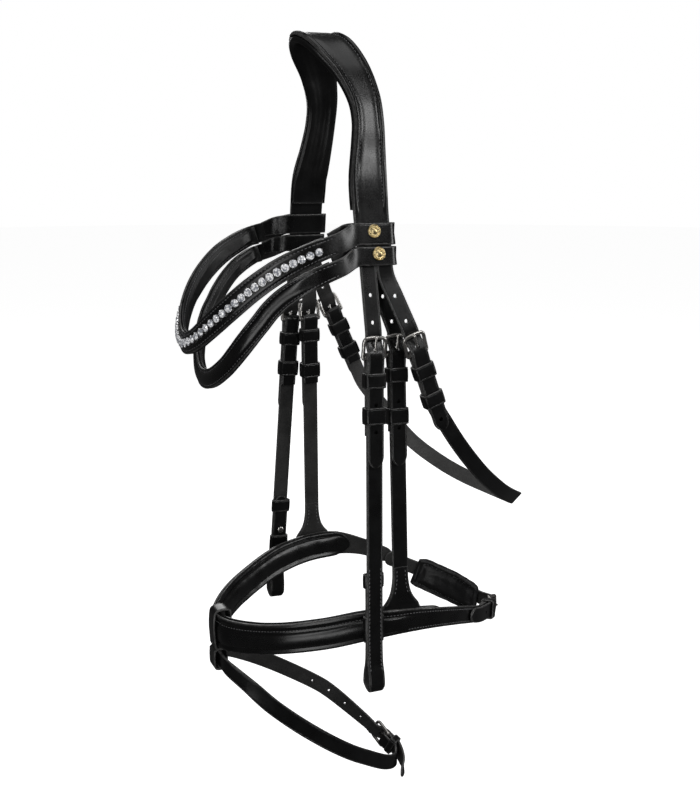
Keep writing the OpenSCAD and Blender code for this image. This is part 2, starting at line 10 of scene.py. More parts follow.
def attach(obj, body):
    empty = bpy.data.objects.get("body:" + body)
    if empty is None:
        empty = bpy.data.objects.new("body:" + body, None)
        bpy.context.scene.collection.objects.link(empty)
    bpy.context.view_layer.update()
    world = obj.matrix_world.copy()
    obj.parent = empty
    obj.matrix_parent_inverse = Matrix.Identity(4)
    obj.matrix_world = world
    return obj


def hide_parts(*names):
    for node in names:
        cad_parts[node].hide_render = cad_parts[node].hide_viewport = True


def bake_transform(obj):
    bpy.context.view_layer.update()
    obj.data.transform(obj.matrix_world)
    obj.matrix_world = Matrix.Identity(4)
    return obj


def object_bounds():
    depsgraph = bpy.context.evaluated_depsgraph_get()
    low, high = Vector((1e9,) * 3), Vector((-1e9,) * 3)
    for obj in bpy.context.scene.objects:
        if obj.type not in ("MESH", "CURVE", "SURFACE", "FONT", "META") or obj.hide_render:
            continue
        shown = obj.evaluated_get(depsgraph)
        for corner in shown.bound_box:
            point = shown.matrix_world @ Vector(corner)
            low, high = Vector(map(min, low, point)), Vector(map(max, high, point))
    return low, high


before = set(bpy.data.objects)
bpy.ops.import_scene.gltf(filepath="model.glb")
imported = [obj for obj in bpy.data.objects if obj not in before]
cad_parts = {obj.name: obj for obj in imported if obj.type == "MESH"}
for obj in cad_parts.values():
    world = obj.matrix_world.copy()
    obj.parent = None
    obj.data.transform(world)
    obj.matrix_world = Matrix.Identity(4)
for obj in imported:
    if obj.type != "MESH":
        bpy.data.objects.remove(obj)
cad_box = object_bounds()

MM = 0.001
LEFT, RIGHT = 1, -1
SIDES = ((LEFT, 0, "left"), (RIGHT, 1, "right"))
UP = (0, 0, 1)
rng = random.Random(7)

# ---- the same numbers as the frame ----
STRAP_W, STRAP_T = 13.0, 2.0
GAP = 0.2
WIRE_R = 1.4
CHAPE_R = WIRE_R + 0.1                       # inner radius of the leather round a buckle bar
WRAP_R = CHAPE_R + STRAP_T / 2               # middle of that leather
LAYER = STRAP_T / 2 + GAP                    # middle of each layer of a doubled strap
OVER = 1.5 * STRAP_T + 3 * GAP               # middle of a billet lying on a doubled strap
CREST = CHAPE_R + 1.5 * STRAP_T + GAP        # middle of a billet crossing the bar
TOP_N = WIRE_R + STRAP_T / 2 + GAP + 0.1     # how far the top bar stands out
BUCKLE_L, BUCKLE_W = 14.0, 19.4
CROSS_Z = 5.3                                # where prong and billet cross
HOLE_PITCH, HOLE_R = 20.0, 1.5
BILLET_HOLE_R, FLASH_HOLE_R = 1.7, 1.15      # the hole that a prong is through, and the flash's free holes
CHEEK_L, BIT_R, RETURN_L = 257.0, 4.5, 97.0
CHAPE_TAIL = 58                              # the turned-back end of a cheekpiece or hanger
THROAT_TAILS = (36, 50)                      # the same of the throatlash, left and right
CROWN_T = 2.2
LOOP_GAP = 0.35                              # between the crown and a browband's loop
CRYSTAL_PITCH, CRYSTAL_R, CLAWS = 6.3, 2.65, 6
TONGUE_SLOPE, TONGUE_LEAN = 0.2, math.radians(11.3)   # the crown's tongues off the vertical
SEAM = 1.9                                   # a row of stitches in from a strap's edge
FINE = {"pitch": 2.8, "size": 2.0}           # the smaller stitches of bands and pads
BAR_Z = CHAPE_R + STRAP_T - 0.6              # buckle bar beyond the end of a curved strap

CROWN = [(71.9, 14, -159, 27), (68.1, 14, -140, 27.5), (64.6, 13.5, -122.5, 28), (60, 14, -98, 28),
         (54, 17, -76, 25), (49, 19, -56, 23), (42.5, 18, -37, 24), (33, 11, -16, 28), (19, 1, 1, 33),
         (0, -4, 7.5, 35)]
CROWN_PAD = [(63.7, 13.5, -118.4, 27.6), (62.0, 13.6, -110, 28)] + CROWN[3:]
UPPER = [(75, -15, -141, 15.4), (78.5, -36, -147.3, 15.8), (72.5, -58, -158, 17.2), (63, -76, -171.5, 17.5),
         (51, -91, -187, 17.5), (36, -102, -201.5, 17.5), (19, -108.5, -213, 17), (0, -110.5, -218, 16.5)]
UPPER_JOIN = [(69.1, -2.3, -136.3, 15.6), (71.9, -7.3, -137.5, 15.6)]   # where the band leaves its loop
LOWER = [(79, -14, -157.4, 13.4), (81.5, -30, -162.6, 13.8), (76.5, -44, -169.8, 14.6), (69.5, -55, -178, 15),
         (64, -64, -187.5, 15), (60, -71, -197.5, 15), (55, -79, -209, 15), (48, -85.5, -220, 15),
         (36, -91, -232, 15), (18, -95.5, -242.5, 15), (0, -97, -246, 15)]
NOSE = [(22, 146.5, -465, 13), (36, 134, -460.5, 13.5), (53, 117, -454, 14), (74, 88, -442, 15),
        (85, 58, -434.5, 17), (88, 30, -431.5, 20), (83, 2, -433, 23.5), (72, -26, -439, 24),
        (56, -53, -444.5, 24), (36, -74, -449, 25), (14, -90, -451, 27), (-8, -91, -450, 27),
        (-30, -74, -442.5, 26.5), (-50, -49, -436, 26), (-68, -18, -429, 25.5), (-80, 14, -426, 24),
        (-88, 46, -428, 22), (-88, 76, -436, 15.5), (-82, 104, -448.5, 13.5)]
FLASH = [(-12, 66, -593, 13), (-3, 70, -598, 13), (8, 65, -600, 13), (18, 51, -594, 13), (30, 28, -578, 13),
         (37, 8, -564, 13), (42, -15, -546, 13), (43, -39, -526, 13), (40, -60, -507, 13),
         (34, -76, -490, 13), (21, -89, -478, 13), (8, -92, -474.8, 13), (-7, -92, -474.8, 13),
         (-18, -82, -478, 13), (-29, -60, -491, 13), (-38, -31, -510, 13), (-43, 5, -535, 13),
         (-42, 25, -551, 13)]
THROAT = [(86, 66.5, -278.5, 13), (82, 78, -293.5, 13), (74, 94, -311, 13), (60, 116.5, -332, 13),
          (40, 145, -353.5, 13), (22, 166.5, -366.5, 13), (9, 179.5, -373.5, 13), (0, 183, -376, 13),
          (-10, 174, -372, 13), (-32, 149, -360, 13), (-50, 130, -347, 13), (-66, 112, -330, 13),
          (-77.5, 92.3, -303.2, 13), (-84.3, 76.3, -281.5, 13)]
THROAT_HINT = (0, -0.75, -0.66)
BARS = {"cheek": ((84, 7, -223.5), (84, 6.5, -218)), "hanger": ((72.3, 30.2, -225), (71.4, 18.4, -216)),
        "throat": ((85.8, 41.5, -222), (85.8, 46, -214))}
LEANS = {"cheek": ((-0.9, 2.9), (-3.2, 2.9)), "hanger": ((0, 3.7), (2.2, 4.7)), "throat": ((20, 0), (24, 0))}
PIVOTS = {"cheek": (71.8, 8, -160.8), "hanger": (69, 15.5, -167), "throat": (72.8, 22.4, -167)}
TIPS = {"cheek": -82, "hanger": -84, "throat": -64}
BODIES = {"cheek": ("cheek_left", "cheek_right"), "hanger": ("noseband", "noseband"),
          "throat": ("throatlash", "throatlash")}


# ---- routes: rows of [x, y, z, width, hint x, hint y, hint z] ----
def rows(points, hint=UP):
    return [tuple(p[:4]) + tuple(hint) for p in points]


def mirrored(points):
    """A half route carried over to the other side."""
    return points + [(-p[0], *p[1:4], -p[4], *p[5:]) for p in reversed(points[:-1])]


def smooth(route, fine=14):
    """Points on a smooth curve through the rows of a route."""
    r = np.array(route, float)
    n = len(r)
    pad = np.vstack([2 * r[0] - r[1], r, 2 * r[-1] - r[-2]])
    t = np.arange(fine) / fine
    out = []
    for i in range(n - 1):
        a, b, c, d = pad[i:i + 4]
        out.append(0.5 * (2 * b + np.outer(t, c - a) + np.outer(t ** 2, 2 * a - 5 * b + 4 * c - d)
                          + np.outer(t ** 3, 3 * b - 3 * c + d - a)))
    return np.vstack(out + [r[-1:]])


def lengths(p):
    return np.concatenate([[0], np.cumsum(np.linalg.norm(np.diff(p[:, :3], axis=0), axis=1))])


def unit(v):
    return v / np.linalg.norm(v, axis=-1, keepdims=True)


def square_to(v, t):
    """The direction of v at right angles to t."""
    return unit(v - np.sum(v * t, -1, keepdims=True) * t)


def tangents(route, closed=False):
    """Unit directions along a route; a closed one comes without its repeated last row."""
    p = route[:, :3]
    return unit(np.roll(p, -1, 0) - np.roll(p, 1, 0) if closed else np.gradient(p, axis=0))


def sample(at, s, table):
    """The columns of a table read at distances along, where its rows are at distances s."""
    return np.stack([np.interp(at, s, column) for column in table.T], axis=-1)


def turn_x(a):
    a = math.radians(a)
    return np.array([[1, 0, 0], [0, math.cos(a), -math.sin(a)], [0, math.sin(a), math.cos(a)]])


def turn_y(a):
    a = math.radians(a)
    return np.array([[math.cos(a), 0, math.sin(a)], [0, 1, 0], [-math.sin(a), 0, math.cos(a)]])


class Place:
    """A local buckle frame: x outward, z up the strap, origin on the buckle bar."""

    def __init__(self, axes, origin, side=LEFT):
        self.axes, self.origin, self.side = np.array(axes, float), np.array(origin, float), side
        self.x, self.y, self.z = self.axes.T

    def at(self, x, y, z):
        return self.origin + self.axes @ np.array([x, y, z], float)

    def points(self, local):
        return np.asarray(local, float) @ self.axes.T + self.origin

    def rows(self, line, w=STRAP_W):
        """Route rows from [x, z] or [x, z, width] points of a strap seen edge-on."""
        hint = -self.side * self.y
        return [tuple(self.at(p[0], 0, p[1])) + (p[2] if len(p) > 2 else w,) + tuple(hint) for p in line]


def hang(kind, s):
    axes = turn_y(-LEANS[kind][s][1]) @ turn_x(LEANS[kind][s][0])
    bar = np.array(BARS[kind][s], float)
    if s == 1:
        flip = np.diag([-1.0, 1, 1])
        return Place(flip @ axes, flip @ bar, RIGHT)
    return Place(axes, bar)


def place_along(route, distance, back=0):
    """A local frame at a distance along a curved strap, moved back toward the strap's start."""
    q = smooth(rows(route), 4)
    s = lengths(q)
    i = max(0, int(np.searchsorted(s, distance)) - 1)
    f = (distance - s[i]) / (s[i + 1] - s[i])
    t = unit(q[i + 1, :3] - q[i, :3])
    w = square_to(np.array(UP), t)
    axes = np.column_stack([np.cross(w, t), -w, -t])
    return Place(axes, q[i, :3] * (1 - f) + q[i + 1, :3] * f + axes[:, 2] * back)


def end_place(route):
    """The buckle frame at the start of a curved strap."""
    return place_along(route, 0, BAR_Z)


# ---- shapes ----
class Shape:
    """Vertices and faces in millimetres, a material number per face and a value per vertex for lighter edge
    colour, partly edge wear and partly painted highlight.
    """

    def __init__(self):
        self.v, self.f, self.m, self.wear, self.n = [], [], [], [], 0

    def add(self, verts, faces, mats=None, wear=None):
        verts = np.asarray(verts, float).reshape(-1, 3)
        self.v.append(verts)
        self.f += [tuple(i + self.n for i in f) for f in faces]
        self.m += mats or [0] * len(faces)
        self.wear.append(np.zeros(len(verts)) if wear is None else np.asarray(wear, float).ravel())
        self.n += len(verts)

    def grid(self, rings, mats=None, wear=None, closed=False):
        """Rings of points joined in order; each ring is a closed outline with a material per point."""
        n, k = rings.shape[:2]
        faces, m = [], []
        per = mats or [0] * k
        for i in range(n if closed else n - 1):
            a, b = i * k, (i + 1) % n * k
            for j in range(k):
                faces.append((a + j, b + j, b + (j + 1) % k, a + (j + 1) % k))
                m.append(per[j])
        if not closed:
            faces += [tuple(range(k)), tuple(range(n * k - 1, (n - 1) * k - 1, -1))]
            m += [per[0]] * 2
        self.add(rings, faces, m, wear)


def edge_drop(d, r):
    d = np.clip(d, 0, r)
    return r - np.sqrt(np.maximum(r * r - (r - d) ** 2, 0))


def dome(u):
    """A half round over -1 to 1."""
    return np.sqrt(np.maximum(1 - u ** 2, 0))


def rise(dist, r):
    """A quarter round from 0 to 1 over a distance r."""
    return np.sqrt(1 - (1 - np.clip(dist / r, 0, 1)) ** 2)


def dip(x, centre, width):
    return np.exp(-((x - centre) / width) ** 2)


def step_up(x, a, b):
    t = np.clip((x - a) / (b - a), 0, 1)
    return t * t * (3 - 2 * t)


# How far in from a strap's edge its cross-section has points, before they become even.
EDGE_D = [0, 0.1, 0.3, 0.6, 0.95, 1.15, 1.3, 1.45, 1.65, 2.0]


class Band:
    """A strap along a route. outer and inner give extra height at (across, width, distance along, length)."""

    def __init__(self, route, step=2.2, t=STRAP_T, mid=0.0, outer=None, inner=None, edge=0.75, crease=0.16,
                 closed=False, tip0=0, tip1=0, narrow=None, across=None, end_r=0.8, wave=0.0):
        f = smooth(route)
        s = lengths(f)
        self.length, self.closed, self.t, self.mid, self.edge = s[-1], closed, t, mid, edge
        self.extra = {1: outer, -1: inner}
        self.crease = crease
        n = max(8, int(round(self.length / step)))
        at = np.linspace(0, self.length, n + 1)
        if closed:
            at = at[:-1]
        else:
            near = np.array([0.12, 0.35, 0.7, 1.2, 1.9, 2.8])
            inside = at[(at > 3.2) & (at < self.length - 3.2)]
            at = np.concatenate([[0], near, inside, self.length - near[::-1], [self.length]])
        self.s = at
        g = sample(at, s, f)
        tan = tangents(f[:-1], True) if closed else tangents(f)
        if closed:
            tan = np.vstack([tan, tan[:1]])
        self.T = unit(sample(at, s, tan))
        self.P, self.w = g[:, :3], g[:, 3].copy()
        self.W = square_to(g[:, 4:7], self.T)
        self.N = np.cross(self.W, self.T)
        if narrow is not None:
            self.w *= narrow(at, self.length)
        self.thin = np.ones(len(at))
        if not closed:
            for dist, tip in ((at, tip0), (self.length - at, tip1)):
                if tip:
                    self.w *= np.maximum(rise(dist, tip), 0.12)
                self.thin *= 0.4 + 0.6 * rise(dist, end_r)
        self.base_w = max(self.w)
        half = self.base_w / 2
        d = across if across is not None else [x for x in EDGE_D if x < half - 0.5]
        inner_n = max(2, int((half - d[-1]) / 1.6))
        d = list(d) + list(d[-1] + (half - d[-1]) * np.arange(1, inner_n + 1) / inner_n)
        self.share = np.array([1 - x / half for x in d] + [-(1 - x / half) for x in d[-2::-1]])
        self.wave = wave

    def height(self, side, a, i=slice(None)):
        """How far the face of one side stands out from the route, at across distance a."""
        w, s = self.w[i, None], self.s[i, None]
        d = w / 2 - np.abs(a)
        h = self.t / 2 - edge_drop(d, min(self.edge, self.t / 2))
        if self.crease and side > 0:
            h = h - self.crease * dip(d, 1.3, 0.17) * step_up(w, 5, 9)
        if self.extra[side] is not None:
            h = h + self.extra[side](a, w, s, self.length)
        return self.mid + side * h * self.thin[i, None]

    def mesh(self, shape=None, inner_mat=1, wear=1.0):
        """Adds the band to a shape, or to a new one; inner_mat is the material of the flesh side."""
        shape = shape or Shape()
        a = self.share[None, :] * self.w[:, None] / 2
        top, low = self.height(1, a), self.height(-1, a)
        if self.wave:
            for k, h in enumerate((top, low)):
                for i in range(len(h)):
                    for j in range(len(self.share)):
                        p = self.P[i] + self.W[i] * a[i, j]
                        h[i, j] += self.wave * noise.noise(Vector(p) * 0.13 + Vector((0, 0, 40 * k)))
        a = np.hstack([a, a[:, ::-1]])
        n = np.hstack([top, low[:, ::-1]])
        k = len(self.share)
        rings = self.P[:, None] + self.W[:, None] * a[..., None] + self.N[:, None] * n[..., None]
        d = self.w[:, None] / 2 - np.abs(a)
        # Lighter edge colour: rubbed edges with a painted highlight along them, and a second painted
        # highlight line just inside each edge of the outer face.
        rub_and_highlight = wear * np.exp(-(d / 0.55) ** 2)
        rub_and_highlight[:, :k] = np.maximum(rub_and_highlight[:, :k], 0.35 * wear * dip(d[:, :k], 0.85, 0.3))
        shape.grid(rings, [0] * k + [inner_mat] * k, rub_and_highlight, self.closed)
        return shape

    def locate(self, s):
        """Place, across, outward, along, width and nearest row at a distance along."""
        i = int(np.clip(np.searchsorted(self.s, s) - 1, 0, len(self.s) - 2))
        f = (s - self.s[i]) / (self.s[i + 1] - self.s[i])
        mix = lambda v: v[i] * (1 - f) + v[i + 1] * f
        j = i if f < 0.5 else i + 1
        return mix(self.P), unit(mix(self.W)), unit(mix(self.N)), unit(mix(self.T)), mix(self.w), j

    def stitches(self, shape, inset, s0=0, s1=None, side=1, pitch=3.1, size=2.2):
        """Rows of thread at a distance in from both edges."""
        s1 = self.length if s1 is None else (self.length + s1 if s1 < 0 else s1)
        count = int((s1 - s0) / pitch)
        for c in range(count):
            s = s0 + (c + 0.5) * (s1 - s0) / count
            p, w, n, t, width, j = self.locate(s)
            for e in (1, -1):
                a = e * (width / 2 - inset)
                h = self.height(side, np.array([[a]]), np.array([j]))[0, 0]
                stitch(shape, p + w * a + n * (h + side * 0.06), unit(t + 0.16 * e * w), n * side, size)


def stitch(shape, p, t, n, size):
    """One stitch of waxed thread: a rounded grain that sinks into the leather at both ends."""
    w = np.cross(n, t)
    rings = []
    for u, r, h in ((-0.5, 0.12, -0.2), (-0.3, 0.32, 0), (0, 0.36, 0.08), (0.3, 0.32, 0), (0.5, 0.12, -0.2)):
        rings.append([p + t * u * size + (w * math.cos(q) + n * math.sin(q) * 0.8) * r + n * h
                      for q in (0.3, 1.35, 2.4, 3.45, 4.5, 5.55)])
    shape.grid(np.array(rings))


def tube(shape, path, hint, ra, rb=None, sides=14, closed=False, taper=None, square=2.0):
    """A bar of oval section along a path, ra across the hint and rb along it."""
    f = smooth([tuple(p) + (1,) + tuple(hint) for p in path], 10)
    f = f[:-1] if closed else f
    tan = tangents(f, closed)
    w = square_to(f[:, 4:7], tan)
    n = np.cross(w, tan)
    rb = ra if rb is None else rb
    k = np.ones(len(f)) if taper is None else np.interp(np.linspace(0, 1, len(f)), *zip(*taper))
    q = 2 * math.pi * (np.arange(sides) + 0.5) / sides
    c, s = (np.copysign(np.abs(v) ** (2 / square), v)[:, None] for v in (np.cos(q), np.sin(q)))
    out = n[:, None] * ra * c + w[:, None] * rb * s
    shape.grid(f[:, None, :3] + out * k[:, None, None], closed=closed)


def lathe(shape, origin, axis, side, outline, count=24, flute=lambda q, r: 0 * q):
    """Turns (radius, height) points about an axis; flute(angle, radius) gives extra height."""
    axis, side = unit(np.array(axis, float)), unit(np.array(side, float))
    q = 2 * math.pi * np.arange(count) / count
    spokes = np.outer(np.cos(q), side) + np.outer(np.sin(q), np.cross(axis, side))
    rings = [origin + spokes * max(r, 0.01) + np.outer(h + flute(q, r), axis) for r, h in outline]
    shape.grid(np.array(rings))


# ---- pieces ----
def placed(name, data):
    """A new object in the scene."""
    obj = bpy.data.objects.new(name, data)
    bpy.context.scene.collection.objects.link(obj)
    return obj


def mesh_of(name, shape):
    """A mesh in metres, with its faces turned outward."""
    mesh = bpy.data.meshes.new(name)
    mesh.from_pydata((np.vstack(shape.v) * MM).tolist(), [], shape.f)
    bm = bmesh.new()
    bm.from_mesh(mesh)
    bmesh.ops.recalc_face_normals(bm, faces=bm.faces)
    bm.to_mesh(mesh)
    bm.free()
    return mesh


def piece(name, shape, mats, body, slot=None, stands_for=(), angle=38, blend=None, holes=None):
    """Makes the Blender object and says which body carries it."""
    mesh = mesh_of(name, shape)
    for m in mats:
        mesh.materials.append(m)
    mesh.polygons.foreach_set("material_index", shape.m)
    # The per-vertex edge value for the leather shader: edge wear and painted highlight.
    rub_and_highlight = mesh.attributes.new("wear", "FLOAT", "POINT")
    rub_and_highlight.data.foreach_set("value", np.concatenate(shape.wear))
    obj = placed(name, mesh)
    if holes is not None:
        punch(obj, holes)
    obj.data.shade_smooth()
    obj.data.set_sharp_from_angle(angle=math.radians(angle))
    if stands_for:
        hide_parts(*stands_for)
    if blend:
        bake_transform(obj)
    else:
        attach(obj, body)
    return obj


def strap_piece(node, shape, body, mats=None, name=None, **more):
    """A piece of strap leather that stands for one CAD node, from which it has its name if none is given."""
    piece(name or f"{node}_leather", shape, mats or [STRAP, FLESH], body, "strap_leather", [node], **more)


def punch(obj, cutter_shape):
    """Cuts the cutter's cylinders out of a piece."""
    mesh = mesh_of("cutter", cutter_shape)
    mesh.materials.append(obj.data.materials[0])
    cutter = placed("cutter", mesh)
    cut = obj.modifiers.new("holes", "BOOLEAN")
    cut.operation, cut.solver, cut.object = "DIFFERENCE", "EXACT", cutter
    bpy.context.view_layer.update()
    made = bpy.data.meshes.new_from_object(obj.evaluated_get(bpy.context.evaluated_depsgraph_get()))
    obj.modifiers.clear()
    obj.data = made
    bpy.data.objects.remove(cutter)


def hole(shape, p, axis, side, r=HOLE_R):
    lathe(shape, np.array(p, float), axis, side, [(r, -6), (r, 6)], 20)


# ---- materials ----
def nodes_of(name):
    mat = bpy.data.materials.new(name)
    mat.use_nodes = True
    tree = mat.node_tree
    return mat, tree, tree.nodes["Principled BSDF"]


def link(tree, a, b):
    tree.links.new(a, b)


def put(node, values):
    """Sets a node's inputs by name."""
    for key, value in values.items():
        node.inputs[key].default_value = value


def texture(tree, kind, scale, detail=None, **values):
    coords = tree.nodes.get("coords")
    if coords is None:
        coords = tree.nodes.new("ShaderNodeTexCoord")
        coords.name = "coords"
    node = tree.nodes.new(kind)
    put(node, {"Scale": scale, **values})
    if detail is not None:
        put(node, {"Detail": detail})
    link(tree, coords.outputs["Object"], node.inputs["Vector"])
    return node


def ramp(tree, source, low, high, out_low, out_high):
    node = tree.nodes.new("ShaderNodeMapRange")
    put(node, {"From Min": low, "From Max": high, "To Min": out_low, "To Max": out_high})
    link(tree, source, node.inputs["Value"])
    return node.outputs["Result"]


def maths(tree, op, a, b):
    node = tree.nodes.new("ShaderNodeMath")
    node.operation = op
    for i, x in enumerate((a, b)):
        if isinstance(x, (int, float)):
            node.inputs[i].default_value = x
        else:
            link(tree, x, node.inputs[i])
    return node.outputs[0]


def mix_colour(tree, factor, a, b):
    node = tree.nodes.new("ShaderNodeMix")
    node.data_type = "RGBA"
    link(tree, factor, node.inputs[0])
    for socket, x in ((node.inputs[6], a), (node.inputs[7], b)):
        if isinstance(x, tuple):
            socket.default_value = x + (1,)
        else:
            link(tree, x, socket)
    return node.outputs[2]


def bump(tree, shader, layers):
    """Stacks bump layers: (height, strength, distance in mm)."""
    last = None
    for height, strength, distance in layers:
        node = tree.nodes.new("ShaderNodeBump")
        put(node, {"Strength": strength, "Distance": distance * MM})
        link(tree, height, node.inputs["Height"])
        if last is not None:
            link(tree, last, node.inputs["Normal"])
        last = node.outputs["Normal"]
    link(tree, last, shader.inputs["Normal"])


def leather(name, dark, light, rough, grain=900, depth=0.35, crinkle=0.0, coat=0.0, rub_and_highlight=(0.2, 0.198, 0.195),
            specular=0.5, rub_and_highlight_share=0.8):
    """Black leather: pebble grain, pores, cloudy tone, and lighter colour along its edges that is partly soft
    wear and partly a painted highlight.
    """
    mat, tree, shader = nodes_of(name)
    cells = texture(tree, "ShaderNodeTexVoronoi", grain)
    cells.feature = "SMOOTH_F1"
    fine = texture(tree, "ShaderNodeTexNoise", grain * 2.1, 4)
    cloud = texture(tree, "ShaderNodeTexNoise", 60, 3)
    folds = texture(tree, "ShaderNodeTexNoise", 170, 5, Distortion=1.6)
    wear = tree.nodes.new("ShaderNodeAttribute")
    wear.attribute_name = "wear"
    tone = mix_colour(tree, ramp(tree, cloud.outputs["Fac"], 0.3, 0.72, 0, 1), dark, light)
    pores = mix_colour(tree, ramp(tree, cells.outputs["Distance"], 0.25, 0.75, 0, 0.7), tone,
                       tuple(0.45 * c for c in dark))
    # Lighter colour where the edge value is high: partly rubbed wear and partly painted highlight, broken up
    # by noise.
    patchy_rub_and_highlight = maths(tree, "MULTIPLY", wear.outputs["Fac"],
                   ramp(tree, folds.outputs["Fac"], 0.35, 0.65, 0.35 * rub_and_highlight_share, rub_and_highlight_share))
    link(tree, mix_colour(tree, patchy_rub_and_highlight, pores, rub_and_highlight), shader.inputs["Base Color"])
    gloss = ramp(tree, cloud.outputs["Fac"], 0.3, 0.75, rough - 0.05, rough + 0.07)
    gloss = maths(tree, "ADD", gloss, ramp(tree, fine.outputs["Fac"], 0.3, 0.7, -0.03, 0.05))
    link(tree, maths(tree, "SUBTRACT", gloss, maths(tree, "MULTIPLY", wear.outputs["Fac"], 0.06)),
         shader.inputs["Roughness"])
    layers = [(cells.outputs["Distance"], depth, 0.09), (fine.outputs["Fac"], depth * 0.8, 0.05)]
    if crinkle:
        layers.append((folds.outputs["Fac"], crinkle, 0.5))
    bump(tree, shader, layers)
    put(shader, {"Specular IOR Level": specular})
    if coat:
        put(shader, {"Coat Weight": coat, "Coat Roughness": 0.22})
    return mat


def metal(name, colour, rough, streak=0.05, scale=500):
    """Polished metal with faint handling marks."""
    mat, tree, shader = nodes_of(name)
    marks = texture(tree, "ShaderNodeTexNoise", scale, 6, Distortion=0.6)
    smudge = texture(tree, "ShaderNodeTexNoise", 130, 2)
    tint = mix_colour(tree, ramp(tree, smudge.outputs["Fac"], 0.3, 0.7, 0, 1),
                      tuple(c * 0.82 for c in colour), colour)
    link(tree, tint, shader.inputs["Base Color"])
    link(tree, ramp(tree, marks.outputs["Fac"], 0.3, 0.7, rough - streak, rough + streak),
         shader.inputs["Roughness"])
    put(shader, {"Metallic": 1.0})
    bump(tree, shader, [(marks.outputs["Fac"], 0.12, 0.04)])
    return mat


def thread():
    """Waxed grey thread with a fine twist."""
    mat, tree, shader = nodes_of("waxed_thread")
    twist = texture(tree, "ShaderNodeTexWave", 900, 2, Distortion=3.0)
    shade = mix_colour(tree, twist.outputs["Fac"], (0.11, 0.11, 0.115), (0.25, 0.25, 0.26))
    link(tree, shade, shader.inputs["Base Color"])
    put(shader, {"Roughness": 0.55})
    bump(tree, shader, [(twist.outputs["Fac"], 0.4, 0.08)])
    return mat


def crystal():
    """Cut crystal with painted sparkle: facets painted white and dark as reflections, and glowing by
    emission.
    """
    mat, tree, shader = nodes_of("cut_crystal_painted_sparkle")
    facets = texture(tree, "ShaderNodeTexVoronoi", 620)
    # Facet colours are painted reflections: bright white cells next to dark ones.
    tone = mix_colour(tree, ramp(tree, facets.outputs["Distance"], 0.15, 0.7, 0, 1),
                      (1.0, 1.0, 1.0), (0.2, 0.21, 0.24))
    link(tree, tone, shader.inputs["Base Color"])
    # The painted facet colour also drives emission, so the stones glow as painted light.
    link(tree, tone, shader.inputs["Emission Color"])
    link(tree, ramp(tree, facets.outputs["Distance"], 0.0, 1.0, 0.03, 0.09), shader.inputs["Roughness"])
    put(shader, {"Metallic": 0.25, "Emission Strength": 0.6, "Coat Weight": 1.0, "Coat Roughness": 0.02,
                 "Coat IOR": 1.7})
    return mat


BLACKS = (0.004, 0.004, 0.0042), (0.009, 0.009, 0.0093)
STRAP = leather("strap_leather", *BLACKS, 0.31, coat=0.12)
SHINY = leather("band_leather", *BLACKS, 0.27, 1000, 0.25, coat=0.2)
FLESH = leather("flesh_side", (0.036, 0.0357, 0.035), (0.07, 0.0695, 0.068), 0.5, 1300, 0.5, specular=0.45)
SOFT = leather("padding_leather", (0.005, 0.005, 0.0052), (0.0105, 0.0105, 0.011), 0.38, 1100, 0.4, 0.22)
CHIN = leather("chin_leather", (0.016, 0.016, 0.0165), (0.032, 0.032, 0.033), 0.45, 900, 0.55, 0.5)
# The throatlash's flesh side: a copy of the flesh-side leather painted lighter, a painted sheen for the light
# it catches.
LIT_THROAT_FLESH = leather("lash_flesh_painted_lighter", (0.07, 0.0695, 0.068), (0.12, 0.119, 0.117), 0.42, 1300, 0.5, specular=0.5)
THREAD = thread()
STEEL = metal("buckle_steel", (0.72, 0.70, 0.67), 0.30)
SILVER = metal("setting_silver", (0.90, 0.90, 0.91), 0.26)
GOLD = metal("badge_gold", (1.0, 0.80, 0.42), 0.30)
CRYSTAL = crystal()


